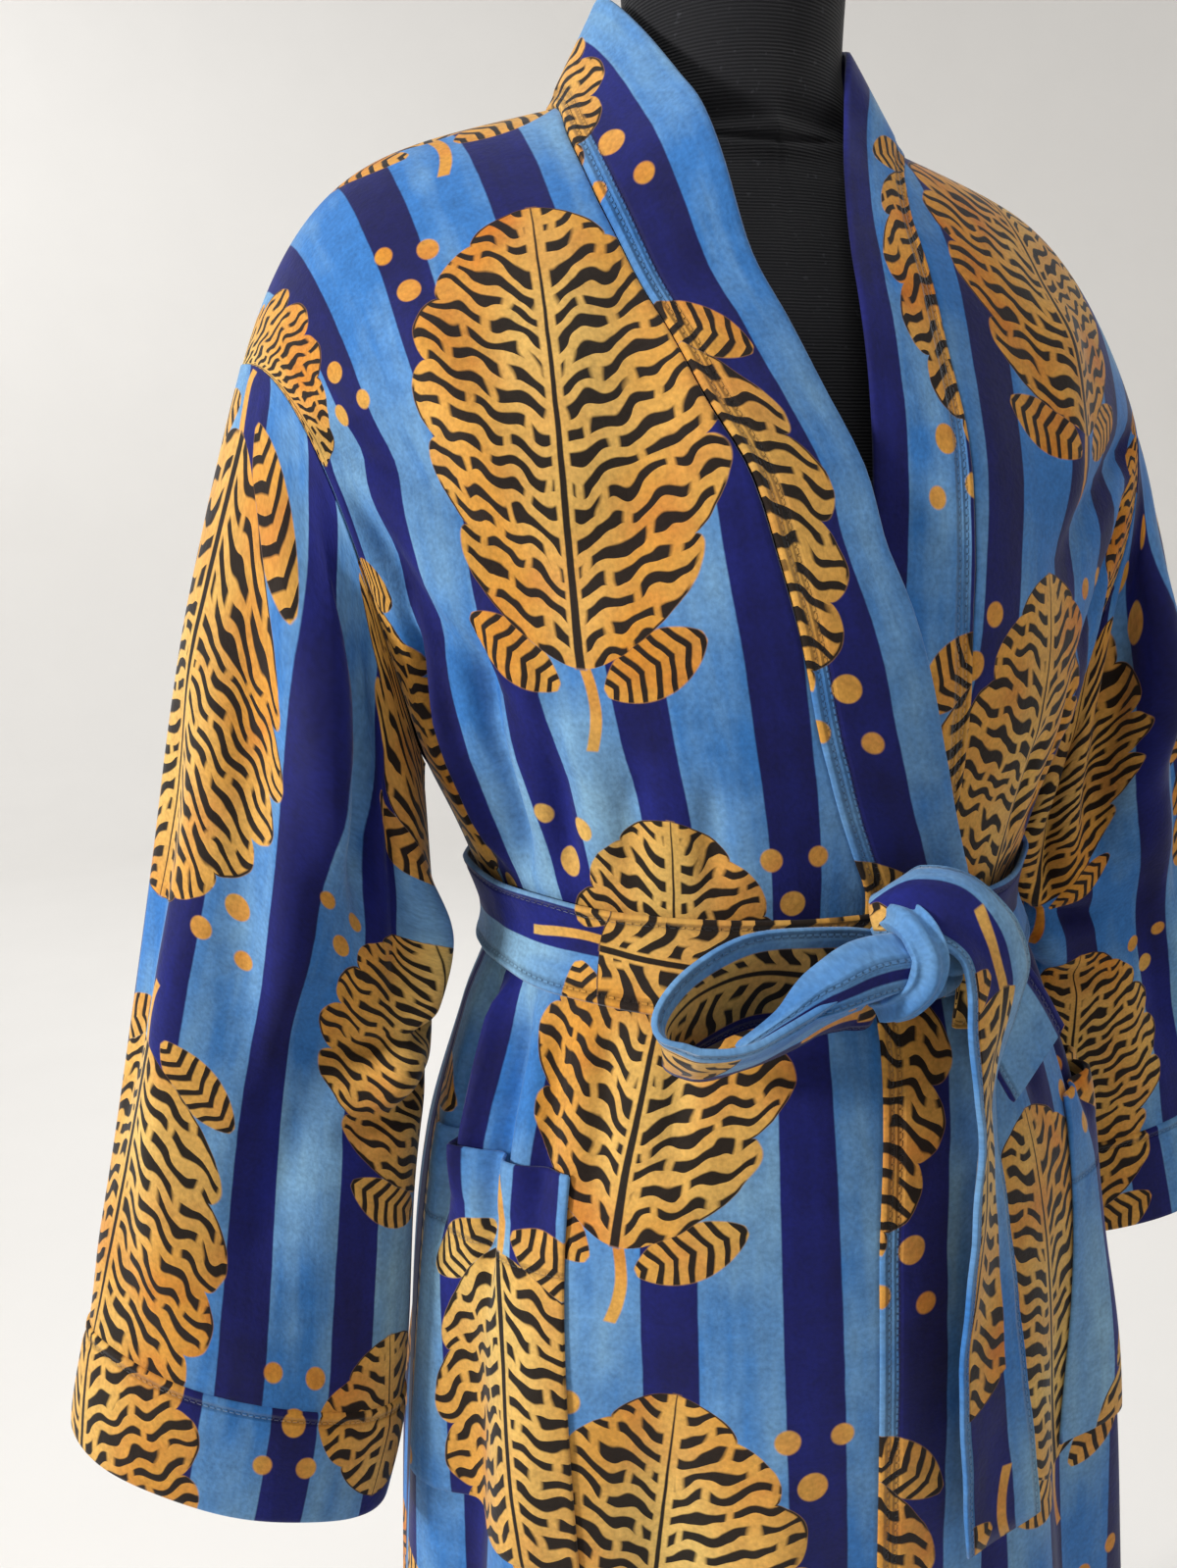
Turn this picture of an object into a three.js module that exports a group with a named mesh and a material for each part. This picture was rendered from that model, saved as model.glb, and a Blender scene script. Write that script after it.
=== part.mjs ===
// A belted kimono robe in striped cotton velvet, worn by a limbless dress form on a round-footed stand.
// Millimetres. +Z is up, -Y is the front, +X is the wearer's left. The origin is on the floor, at the
// middle of the stand's foot.
//
// The cloth is cut from flat panels: a back, two fronts, two sleeves with turned cuffs, a neckband in
// two halves joined at the centre back, two patch pockets, and a belt tied in a single bow. Each panel is
// a thin wall laid on one shared surface, the body skin, or on a tube or a ruled strip that leaves it.
import * as THREE from "three";

// Driving sizes
const HEM_Z = 290;
const UNDERARM_Z = 1090;
const NECK_POINT_Z = 1417;
const NECK_POINT_X = 98;
const ARMHOLE_TOP_X = 257;
const UNDERARM_X = 178;
const NECK_POINT_Y = 17;
const ARMHOLE_TOP_Y = 38;
const SHOULDER_FALL = 0.24;
const SHOULDER_ROUND = 84;
const LEFT_SHOULDER_IN = 14;
const LEFT_SHOULDER_DROP = 13;
const ARMHOLE_DEPTH = 62;
const SEAM_GAP = 0.3;
const CLOTH = 2;
const BAND_CLOTH = 3;
const BAND_WIDTH = 60;
const BAND_CLEAR = 2.4;
const BELT_WIDTH = 50;
const BELT_THICK = 3;
const LAP_LIFT = 4.4;
const DEG = Math.PI / 180;

// The skirt and waist, one row for each level: half width, and reach to the front and to the back.
const SECTIONS = [
  { z: 290, half: 236, front: 168, back: 188 },
  { z: 450, half: 226, front: 163, back: 182 },
  { z: 620, half: 214, front: 157, back: 174 },
  { z: 760, half: 203, front: 152, back: 166 },
  { z: 880, half: 188, front: 145, back: 153 },
  { z: 960, half: 165, front: 129, back: 132 },
  { z: 1005, half: 148, front: 116, back: 114 },
  { z: 1050, half: 161, front: 125, back: 120 },
  { z: 1090, half: 178, front: 134, back: 126 },
];

// Above the underarm: share of the way up to the shoulder seam, and reach at the centre line.
const YOKE = [
  { share: 0, front: 134, back: 126 },
  { share: 0.2, front: 146, back: 132 },
  { share: 0.4, front: 146, back: 136 },
  { share: 0.6, front: 138, back: 132 },
  { share: 0.8, front: 130, back: 120 },
  { share: 1, front: 125, back: 110 },
];

// Seam between each front and its half of the neckband: height, and distance across from the centre.
const SEAM_RIGHT = [
  { h: 290, x: -14 },
  { h: 702, x: -6 },
  { h: 852, x: -2 },
  { h: 962, x: 8 },
  { h: 1028, x: 6 },
  { h: 1050, x: -3 },
  { h: 1074, x: -13 },
  { h: 1124, x: -30 },
  { h: 1172, x: -42 },
  { h: 1218, x: -54 },
  { h: 1252, x: -69 },
  { h: 1291, x: -81 },
  { h: 1323, x: -92 },
  { h: 1359, x: -101 },
  { h: 1390, x: -104 },
  { h: 1417, x: -98 },
];
const SEAM_LEFT = [
  { h: 290, x: 48 },
  { h: 700, x: 53 },
  { h: 1005, x: 58 },
  { h: 1086, x: 55 },
  { h: 1140, x: 55 },
  { h: 1187, x: 60 },
  { h: 1245, x: 61 },
  { h: 1297, x: 58 },
  { h: 1340, x: 58 },
  { h: 1374, x: 66 },
  { h: 1400, x: 83 },
  { h: 1417, x: 98 },
];

// Free edge of the neckband where it stands away from the body: seam height, and the edge's place.
const STAND_RIGHT = [
  { h: 1417, x: -71, y: 10, z: 1470 },
  { h: 1403, x: -60, y: -22, z: 1444 },
  { h: 1388, x: -53, y: -50, z: 1416 },
  { h: 1362, x: -50, y: -70, z: 1396 },
  { h: 1340, x: -46, y: -85, z: 1369 },
  { h: 1310, x: -38, y: -98, z: 1327 },
  { h: 1280, x: -25, y: -108, z: 1296 },
  { h: 1236, x: -12, y: -119, z: 1260 },
  { h: 1210, x: 1, y: -131, z: 1223 },
  { h: 1186, x: 5, y: -137, z: 1199 },
  { h: 1150, x: 16, y: -140, z: 1167 },
];
const STAND_LEFT = [
  { h: 1417, x: 64, y: 10, z: 1457 },
  { h: 1408, x: 55, y: -12, z: 1447 },
  { h: 1396, x: 45, y: -32, z: 1431 },
  { h: 1382, x: 38, y: -44, z: 1407 },
  { h: 1356, x: 26, y: -66, z: 1372 },
  { h: 1325, x: 17, y: -92, z: 1331 },
  { h: 1290, x: 13, y: -107, z: 1304 },
  { h: 1262, x: 11, y: -118, z: 1268 },
  { h: 1235, x: 11, y: -121, z: 1239 },
  { h: 1196, x: 10, y: -123, z: 1199 },
  { h: 1150, x: 3, y: -129, z: 1150 },
];
// The same edge round the back of the neck: share of the way from the centre back to the shoulder.
const STAND_BACK = [
  { share: 0, x: 0, y: 70, z: 1472 },
  { share: 0.4, x: 36, y: 62, z: 1473 },
  { share: 0.75, x: 60, y: 40, z: 1473 },
];
const BACK_NECK_H = 1383;
// The band lies on the body below the first height, and is ruled to its free edge above the second.
const BAND_LYING_H = 1105;
const BAND_STANDING_H = 1180;

// Sleeves, one row for each ring: outer edge, inner edge, half depth and the ring's middle from front to
// back. The first ring is the armhole; the last two are the cuff's seam and its hem.
const SLEEVE_RIGHT = [
  { share: 0, outX: 257, outZ: 1295, inX: 182, inZ: 1090, depth: 60, y: 19 },
  { share: 0.14, outX: 285, outZ: 1204, inX: 183, inZ: 1042, depth: 60, y: 12 },
  { share: 0.31, outX: 306, outZ: 1120, inX: 183, inZ: 990, depth: 54, y: 4 },
  { share: 0.48, outX: 325, outZ: 1030, inX: 191, inZ: 942, depth: 50, y: 0 },
  { share: 0.67, outX: 345, outZ: 938, inX: 203, inZ: 872, depth: 48, y: -3 },
  { share: 0.89, outX: 368, outZ: 816, inX: 215, inZ: 747, depth: 47, y: -4 },
  { share: 1, outX: 380, outZ: 762, inX: 228, inZ: 690, depth: 48, y: -4 },
];
const SLEEVE_LEFT = [
  { share: 0, outX: 243, outZ: 1295, inX: 182, inZ: 1090, depth: 60, y: 19 },
  { share: 0.14, outX: 273, outZ: 1207, inX: 183, inZ: 1049, depth: 60, y: 24 },
  { share: 0.31, outX: 299, outZ: 1124, inX: 183, inZ: 1001, depth: 54, y: 31 },
  { share: 0.48, outX: 325, outZ: 1037, inX: 191, inZ: 954, depth: 50, y: 37 },
  { share: 0.67, outX: 344, outZ: 949, inX: 203, inZ: 890, depth: 48, y: 42 },
  { share: 0.89, outX: 368, outZ: 840, inX: 216, inZ: 800, depth: 47, y: 46 },
  { share: 1, outX: 383, outZ: 777, inX: 228, inZ: 739, depth: 48, y: 47 },
];
const CUFF_SHARE = 0.89;
const CUFF_OUT = 1.4;

// Long folds of the sleeve: place round it in degrees from its outer edge towards the front, at the
// armhole and further down, width in degrees, height (a valley is negative), and the shares of the
// length between which it runs.
const SLEEVE_FOLDS = [
  { top: 45, low: 83, wide: 15, high: 8, from: 0.0, to: 0.62 },
  { top: 80, low: 112, wide: 17, high: -9, from: 0.02, to: 0.72 },
  { top: 140, low: 150, wide: 16, high: 5, from: 0.12, to: 0.9 },
  { top: 20, low: 34, wide: 22, high: -4, from: 0.35, to: 1 },
  { top: 250, low: 232, wide: 20, high: -7, from: 0.05, to: 0.7 },
  { top: 292, low: 272, wide: 18, high: 6, from: 0.06, to: 0.8 },
  { top: 330, low: 318, wide: 20, high: -4, from: 0.3, to: 1 },
];

// Patch pockets, laid on the grid of their front: first and last column, and how far the top stands open.
const POCKET_RIGHT = { far: 1, near: 7, gape: 4 };
const POCKET_LEFT = { far: 1, near: 7, gape: 8 };
const POCKET_WIDENS = 1.16;
const POCKET_GAP = 0.75;
const POCKET_ROWS = [704, 760, 820, 860, 898];

// Bow, tails and knot. A strap's rows give a point on its middle line and the way its width runs.
const BOW = [
  { x: -2.5, y: -143, z: 994, wx: 0, wy: 0.1, wz: -1 },
  { x: -22, y: -145, z: 998, wx: 0.05, wy: 0.12, wz: -0.99 },
  { x: -65, y: -147, z: 1001, wx: 0.1, wy: 0.2, wz: -0.97 },
  { x: -95, y: -152, z: 991, wx: 0.22, wy: 0.35, wz: -0.91 },
  { x: -108, y: -158, z: 980, wx: 0.36, wy: 0.55, wz: -0.75 },
  { x: -98, y: -164, z: 973, wx: 0.4, wy: 0.7, wz: -0.6 },
  { x: -73, y: -168, z: 975, wx: 0.41, wy: 0.8, wz: -0.48 },
  { x: -36, y: -166, z: 988, wx: 0.38, wy: 0.76, wz: -0.52 },
  { x: -14, y: -160, z: 991, wx: 0.2, wy: 0.7, wz: -0.69 },
  { x: -1.6, y: -155, z: 992, wx: 0, wy: 0.5, wz: -0.86 },
];
const KNOT = { x: 25, y: -149, z: 1001, rx: 25, ry: 20, rz: 26, lean: -14 };
const LONG_TAIL = [
  { x: 57.5, y: -151, z: 1018, wx: 0.08, wy: 0.1, wz: 0.99 },
  { x: 68, y: -163, z: 1014, wx: 0.6, wy: 0.2, wz: 0.78 },
  { x: 69, y: -172, z: 998, wx: 0.85, wy: 0.35, wz: 0.38 },
  { x: 60, y: -174, z: 976, wx: 0.88, wy: 0.45, wz: 0.1 },
  { x: 49, y: -167, z: 945, wx: 0.86, wy: 0.5, wz: 0 },
  { x: 49, y: -167, z: 875, wx: 0.86, wy: 0.5, wz: 0 },
  { x: 49, y: -169, z: 810, wx: 0.92, wy: 0.38, wz: 0 },
  { x: 56, y: -172, z: 712, wx: 0.97, wy: 0.2, wz: -0.12 },
];
const SHORT_TAIL = [
  { x: 46.6, y: -141.3, z: 988, wx: 0.35, wy: 0.15, wz: 0.92 },
  { x: 62, y: -139, z: 984, wx: 0.45, wy: 0.2, wz: 0.87 },
  { x: 78, y: -137, z: 966, wx: 0.7, wy: 0.2, wz: 0.68 },
  { x: 91, y: -136, z: 942, wx: 0.83, wy: 0.2, wz: 0.52 },
];
const BELT_FALL = 17;
const BELT_Z = 1014;

// Dress form: half width, reach to the front and the back, the ring's middle, and its squareness
// (2 is an ellipse, 1 a diamond, which makes the ridge of the shoulders).
const FORM = [
  { z: 790, half: 146, front: 108, back: 118, y: 0, power: 2.2 },
  { z: 800, half: 154, front: 114, back: 124, y: 0, power: 2.2 },
  { z: 870, half: 163, front: 120, back: 132, y: 0, power: 2.2 },
  { z: 940, half: 146, front: 108, back: 114, y: 0, power: 2.1 },
  { z: 1010, half: 125, front: 94, back: 96, y: 0, power: 2 },
  { z: 1080, half: 136, front: 104, back: 100, y: 0, power: 2 },
  { z: 1160, half: 150, front: 118, back: 108, y: 1, power: 2 },
  { z: 1220, half: 154, front: 110, back: 112, y: 5, power: 2.1 },
  { z: 1290, half: 160, front: 100, back: 94, y: 12, power: 2.1 },
  { z: 1334, half: 166, front: 88, back: 74, y: 20, power: 1.9 },
  { z: 1365, half: 168, front: 78, back: 60, y: 24, power: 1.6 },
  { z: 1380, half: 158, front: 73, back: 55, y: 24, power: 1.35 },
  { z: 1392, half: 134, front: 70, back: 52, y: 22, power: 1.2 },
  { z: 1399, half: 110, front: 67, back: 50, y: 19, power: 1.2 },
  { z: 1404, half: 84, front: 63, back: 50, y: 17, power: 1.4 },
  { z: 1416, half: 66, front: 59, back: 50, y: 13, power: 1.8 },
  { z: 1440, half: 57, front: 56, back: 51, y: 10, power: 2 },
  { z: 1490, half: 59, front: 58, back: 54, y: 7, power: 2 },
  { z: 1530, half: 61, front: 60, back: 57, y: 6, power: 2 },
];
const FORM_SIDES = 28;
const NECK_CAP = { y: 6, radius: 58, z: 1530 + SEAM_GAP, thick: 7 };

// Stand: a round foot, and a pole with a flange under the form.
const FOOT_RADIUS = 190;
const FOOT_RIM = 10;
const FOOT_TOP = 24;
const POLE_RADIUS = 14;
const FLANGE_RADIUS = 46;
const FLANGE_THICK = 8;

// Monotone cubic through the named columns of a table: value(table, "z", "half")(1005).
function curve(rows, along, across) {
  const x = rows.map((r) => r[along]);
  const y = rows.map((r) => r[across]);
  const n = x.length;
  const step = x.slice(1).map((v, i) => v - x[i]);
  const slope = step.map((s, i) => (y[i + 1] - y[i]) / s);
  const tangent = y.map((_, i) => {
    if (i === 0) return slope[0];
    if (i === n - 1) return slope[n - 2];
    if (slope[i - 1] * slope[i] <= 0) return 0;
    const a = 2 * step[i] + step[i - 1];
    const b = step[i] + 2 * step[i - 1];
    return (a + b) / (a / slope[i - 1] + b / slope[i]);
  });
  return (at) => {
    const v = Math.min(Math.max(at, x[0]), x[n - 1]);
    let i = 0;
    while (i < n - 2 && v > x[i + 1]) i += 1;
    const t = (v - x[i]) / step[i];
    const rise = t * t * (3 - 2 * t);
    const lead = t * (1 - t) * (1 - t) * tangent[i] - t * t * (1 - t) * tangent[i + 1];
    return y[i] + (y[i + 1] - y[i]) * rise + step[i] * lead;
  };
}

const clamp01 = (v) => Math.min(Math.max(v, 0), 1);
const mix = (a, b, t) => a + (b - a) * t;
function ease(from, to, v) {
  const t = clamp01((v - from) / (to - from));
  return t * t * (3 - 2 * t);
}
const hump = (v, middle, wide) => Math.exp(-(((v - middle) / wide) ** 2));

const skirtHalf = curve(SECTIONS, "z", "half");
const skirtFront = curve(SECTIONS, "z", "front");
const skirtBack = curve(SECTIONS, "z", "back");
const yokeFront = curve(YOKE, "share", "front");
const yokeBack = curve(YOKE, "share", "back");

// Height of the shoulder seam at a distance from the centre.
function shoulderZ(x) {
  const d = Math.abs(x) - NECK_POINT_X;
  const round = Math.max(d / (ARMHOLE_TOP_X - NECK_POINT_X), 0) ** 5;
  return NECK_POINT_Z - SHOULDER_FALL * d - SHOULDER_ROUND * round;
}

const yokeShare = (h) => clamp01((h - UNDERARM_Z) / (NECK_POINT_Z - UNDERARM_Z));
const yokeHalf = (t) => UNDERARM_X + (ARMHOLE_TOP_X - UNDERARM_X) * t ** 0.8;
const halfAt = (h) => (h > UNDERARM_Z ? yokeHalf(yokeShare(h)) : skirtHalf(h));

// Folds of the body: flutes that open towards the hem, and gathers that the belt pulls in.
function bodyFold(phi, h) {
  const rear = (1 - Math.cos(phi)) / 2;
  const flute = clamp01((900 - h) / 610) ** 1.3 * (3.5 + 6 * rear) * Math.cos(9 * phi + 0.6);
  const side = ease(30 * DEG, 65 * DEG, Math.abs(Math.atan2(Math.sin(phi), Math.cos(phi))));
  const gather = 3.4 * side * hump(h, 1008, 62) * (0.5 - 0.5 * Math.cos(12 * phi));
  return flute - gather;
}

// The body skin. phi is 0 at the centre front, and grows towards the wearer's left; h is the height, or
// above the underarm the share of the way to the shoulder seam counted in the height at the neck point.
function bodySkin(back, phi, h) {
  const s = Math.sin(phi);
  const c = Math.cos(phi);
  const towards = back ? 1 : -1;
  if (h <= UNDERARM_Z) {
    const reach = back ? -skirtBack(h) : -skirtFront(h);
    const fold = bodyFold(phi, h);
    return new THREE.Vector3((skirtHalf(h) + fold) * s, (reach - fold) * c, h);
  }
  const t = yokeShare(h);
  const fold = bodyFold(phi, h) * (1 - ease(0, 0.35, t));
  const bulge = Math.max(Math.sin(Math.PI * t ** 0.9), 0) ** 0.8;
  const edgeY = ARMHOLE_TOP_Y * t + towards * ARMHOLE_DEPTH * bulge;
  const reach = (back ? yokeBack(t) : yokeFront(t)) * Math.sqrt(Math.max(1 - t ** 3.2, 0));
  const middleY = NECK_POINT_Y * t + towards * reach;
  const x = yokeHalf(t) * s;
  const y = edgeY + (middleY - edgeY) * Math.abs(c) ** (1 + clamp01(t / 0.3));
  const left = Math.max(s, 0);
  const drop = LEFT_SHOULDER_DROP * t * ease(0, 0.3, left) * (1 - left ** 6);
  const z = UNDERARM_Z + (shoulderZ(x) - UNDERARM_Z) * t - drop;
  return new THREE.Vector3(x - LEFT_SHOULDER_IN * t * left + fold * s, y - fold * c, z);
}

// A point of the body skin moved out along its normal.
function onBody(back, phi, h, out) {
  const [low, high] = back ? [90 * DEG, 270 * DEG] : [-90 * DEG, 90 * DEG];
  const a = bodySkin(back, Math.max(phi - 0.03, low), h);
  const b = bodySkin(back, Math.min(phi + 0.03, high), h);
  const c = bodySkin(back, phi, Math.max(h - 3, HEM_Z));
  const d = bodySkin(back, phi, Math.min(h + 3, NECK_POINT_Z));
  const normal = b.sub(a).cross(d.sub(c)).normalize();
  return bodySkin(back, phi, h).addScaledVector(normal, out);
}

const frontPhi = (x, h) => Math.asin(x / halfAt(h));

// A closed wall or tube through place(u, v, side): u and v run from 0 to 1, side is 0 on the inside.
function wall(across, along, place, tube = false) {
  const position = [];
  const columns = tube ? across : across + 1;
  for (let side = 0; side < 2; side += 1)
    for (let j = 0; j <= along; j += 1)
      for (let i = 0; i < columns; i += 1) position.push(...place(i / across, j / along, side).toArray());
  const layer = columns * (along + 1);
  const at = (side, i, j) => side * layer + j * columns + (tube ? i % across : i);
  const faces = [];
  const quad = (a, b, c, d) => faces.push(a, b, c, a, c, d);
  for (let j = 0; j < along; j += 1)
    for (let i = 0; i < across; i += 1) {
      quad(at(1, i, j), at(1, i + 1, j), at(1, i + 1, j + 1), at(1, i, j + 1));
      quad(at(0, i, j), at(0, i, j + 1), at(0, i + 1, j + 1), at(0, i + 1, j));
    }
  for (let i = 0; i < across; i += 1) {
    quad(at(0, i, 0), at(0, i + 1, 0), at(1, i + 1, 0), at(1, i, 0));
    quad(at(0, i + 1, along), at(0, i, along), at(1, i, along), at(1, i + 1, along));
  }
  for (let j = 0; j < along && !tube; j += 1) {
    quad(at(0, 0, j + 1), at(0, 0, j), at(1, 0, j), at(1, 0, j + 1));
    quad(at(0, across, j), at(0, across, j + 1), at(1, across, j + 1), at(1, across, j));
  }
  return outward(position, faces);
}

// A solid through closed rings of equal length, with flat ends.
function loft(rings) {
  const position = rings.flat().flatMap((p) => p.toArray());
  const n = rings[0].length;
  const faces = [];
  for (let j = 0; j + 1 < rings.length; j += 1)
    for (let i = 0; i < n; i += 1) {
      const next = (i + 1) % n;
      faces.push(j * n + i, j * n + next, (j + 1) * n + next);
      faces.push(j * n + i, (j + 1) * n + next, (j + 1) * n + i);
    }
  const last = (rings.length - 1) * n;
  for (let i = 1; i + 1 < n; i += 1) faces.push(0, i + 1, i, last, last + i, last + i + 1);
  return outward(position, faces);
}

// Geometry whose faces point out: all of them are turned round when the enclosed volume is negative.
function outward(position, faces) {
  const p = (i) => new THREE.Vector3().fromArray(position, 3 * i);
  let volume = 0;
  for (let f = 0; f < faces.length; f += 3)
    volume += p(faces[f]).dot(p(faces[f + 1]).cross(p(faces[f + 2])));
  if (volume < 0)
    for (let f = 0; f < faces.length; f += 3) [faces[f + 1], faces[f + 2]] = [faces[f + 2], faces[f + 1]];
  const geometry = new THREE.BufferGeometry();
  geometry.setAttribute("position", new THREE.Float32BufferAttribute(position, 3));
  geometry.setIndex(faces);
  geometry.computeVertexNormals();
  return geometry;
}

// Heights of a panel's rows: closer at the waist, and closing up towards the shoulder seam.
const SKIRT_ROWS = [290, 385, 475, 555, 630, ...POCKET_ROWS, 935, 963, 985, 1005, 1025, 1052, 1090];
const YOKE_ROWS = 11;
const PANEL_ROWS = SKIRT_ROWS.length - 1 + YOKE_ROWS;
function panelHeight(row, topShare = 1) {
  if (row < SKIRT_ROWS.length) return SKIRT_ROWS[row];
  const reach = 1 - Math.sqrt(1 - topShare);
  const s = ((row - SKIRT_ROWS.length + 1) / YOKE_ROWS) * reach;
  return UNDERARM_Z + (NECK_POINT_Z - UNDERARM_Z) * (1 - (1 - s) ** 2);
}

// How far the lapped right front stands out, to pass over the left one.
const lapLift = (phi, h) => LAP_LIFT * ease(-75 * DEG, -22 * DEG, phi) * (1 - ease(1215, 1320, h));

// The back, with its neckline between the shoulder points, where its columns stand closer.
const NECK_SINE = NECK_POINT_X / ARMHOLE_TOP_X;
const NECK_ANGLE = Math.asin(NECK_SINE) / DEG;
const NECK_COLUMNS = 5;
const SHOULDER_COLUMNS = 9;
const backNeckH = (k) => mix(BACK_NECK_H, NECK_POINT_Z, k * k);
function backColumn(i) {
  const shoulder = i / SHOULDER_COLUMNS;
  if (shoulder <= 1) return mix(90, 180 - NECK_ANGLE, shoulder);
  return 180 - NECK_ANGLE * (1 - (i - SHOULDER_COLUMNS) / NECK_COLUMNS);
}
function backPanel() {
  const half = SHOULDER_COLUMNS + NECK_COLUMNS;
  return wall(2 * half, PANEL_ROWS, (u, v, side) => {
    const i = Math.round(u * 2 * half);
    const phi = (i > half ? 360 - backColumn(2 * half - i) : backColumn(i)) * DEG;
    const k = Math.min(Math.abs(Math.sin(phi)) / NECK_SINE, 1);
    const h = panelHeight(Math.round(v * PANEL_ROWS), yokeShare(backNeckH(k)));
    const p = onBody(true, phi, h, CLOTH * side);
    p.y += SEAM_GAP / 2;
    return p;
  });
}

// A front, from its side seam to its neckband seam.
function frontPoint(hand, seam, lift) {
  const seamX = curve(seam, "h", "x");
  return (share, h, out) => {
    const inner = frontPhi(seamX(h) + hand * SEAM_GAP, h);
    const phi = mix(hand * 90 * DEG, inner, share);
    const p = onBody(false, phi, h, lift(phi, h) + out);
    p.y -= SEAM_GAP / 2;
    return p;
  };
}
function frontPanel(point, columns) {
  return wall(columns, PANEL_ROWS, (u, v, side) => {
    return point(u, panelHeight(Math.round(v * PANEL_ROWS)), CLOTH * side);
  });
}

// Half of the neckband, from the centre back over the shoulder and down to the hem. Its seam follows the
// panels' rows. At the neck it is a ruled strip out to its free edge, and below the chest it lies on the
// body. Its stations count 3 from the centre back to the shoulder, then 1 for each BAND_STEP of height.
const BACK_STATIONS = 3;
const BAND_STEP = 30;
function neckband(hand, seam, stand, lift) {
  const seamX = curve(seam, "h", "x");
  const stationOf = (h) => BACK_STATIONS + (NECK_POINT_Z - h) / BAND_STEP;
  const heightOf = (station) => Math.min(NECK_POINT_Z - (station - BACK_STATIONS) * BAND_STEP, NECK_POINT_Z);
  const lying = (u, h) => onBody(false, frontPhi(seamX(h) - hand * BAND_WIDTH * u, h), h, lift(h));
  const rows = [
    ...STAND_BACK.map((r) => ({ station: r.share * BACK_STATIONS, x: hand * r.x, y: r.y, z: r.z })),
    ...stand.map((r) => ({ station: stationOf(r.h), x: r.x, y: r.y, z: r.z })),
    ...[BAND_LYING_H, BAND_LYING_H - BAND_WIDTH].map((h) => ({ station: stationOf(h), ...lying(1, h) })),
  ];
  const free = ["x", "y", "z"].map((axis) => curve(rows, "station", axis));
  const seamPoint = (station) => {
    if (station >= BACK_STATIONS) return lying(0, heightOf(station));
    const k = station / BACK_STATIONS;
    const p = onBody(true, Math.PI - hand * Math.asin(k * NECK_SINE), backNeckH(k), 0);
    return p.add(new THREE.Vector3(0, -SEAM_GAP * (1 - k), SEAM_GAP * 2));
  };
  const surface = (u, station) => {
    const h = heightOf(station);
    const edge = new THREE.Vector3(...free.map((f) => f(station)));
    const ruled = seamPoint(station).lerp(edge, mix(BAND_CLEAR / BAND_WIDTH, 1, u));
    const share = 1 - ease(BAND_LYING_H, BAND_STANDING_H, h);
    return share > 0 ? ruled.lerp(lying(u, h), share) : ruled;
  };
  const backRow = (i) => (BACK_STATIONS * Math.sin((i * NECK_ANGLE * DEG) / NECK_COLUMNS)) / NECK_SINE;
  const backRows = Array.from({ length: NECK_COLUMNS }, (_, i) => backRow(i));
  const frontRows = Array.from({ length: PANEL_ROWS + 1 }, (_, i) => stationOf(panelHeight(PANEL_ROWS - i)));
  const stations = [...backRows, ...frontRows];
  const last = stations.length - 1;
  return wall(3, last, (u, v, side) => {
    const station = stations[Math.round(v * last)];
    const e = 0.02;
    const a = surface(u, Math.max(station - e, 0));
    const b = surface(u, Math.min(station + e, stations[last]));
    const normal = b.sub(a).cross(surface(u + e, station).sub(surface(u - e, station)));
    const p = surface(u, station).addScaledVector(normal.normalize(), -hand * BAND_CLOTH * side);
    p.y -= SEAM_GAP / 2;
    if (station === 0) p.x = (hand * SEAM_GAP) / 2;
    return p;
  });
}

// A ring of the sleeve at a share of its length. Round 0 is its outer edge, 90 degrees its front.
function sleeveRing(hand, rows) {
  const columns = ["outX", "outZ", "inX", "inZ", "depth", "y"];
  const value = Object.fromEntries(columns.map((name) => [name, curve(rows, "share", name)]));
  const skin = (round, share) => {
    const c = Math.cos(round);
    const s = Math.sin(round);
    const x = mix(value.inX(share), value.outX(share), (1 + c) / 2);
    const z = mix(value.inZ(share), value.outZ(share), (1 + c) / 2);
    const fold = SLEEVE_FOLDS.reduce((sum, f) => {
      const at = mix(f.top, f.low, ease(f.from, f.from + 0.2, share));
      const turn = ((round / DEG - at + 540) % 360) - 180;
      const run = ease(f.from, f.from + 0.15, share) * (1 - ease(f.to - 0.2, f.to, share));
      return sum + f.high * hump(turn, 0, f.wide) * run;
    }, 0);
    const y = value.y(share) - value.depth(share) * s;
    return new THREE.Vector3(hand * (x + fold * c * 0.6), y - fold * s, z);
  };
  return (round, share, out) => {
    const a = skin(round - 0.02, share);
    const b = skin(round + 0.02, share);
    const c = skin(round, share - 0.01);
    const d = skin(round, share + 0.01);
    const normal = b.sub(a).cross(d.sub(c)).normalize().multiplyScalar(hand);
    return skin(round, share).addScaledVector(normal, out);
  };
}

// The armhole's edge of the body panels, at the same places round as the sleeve's first ring.
function armhole(hand, round, out) {
  const t = (1 + Math.cos(round)) / 2;
  const h = mix(UNDERARM_Z, NECK_POINT_Z, t);
  const front = onBody(false, hand * 90 * DEG, h, out);
  const back = onBody(true, (hand > 0 ? 90 : 270) * DEG, h, out);
  const side = Math.sin(round);
  const p = Math.abs(side) < 1e-6 ? front.lerp(back, 0.5) : side > 0 ? front : back;
  const under = 1 - t;
  p.x += hand * (0.8 + 3 * under ** 4);
  return p;
}

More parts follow.
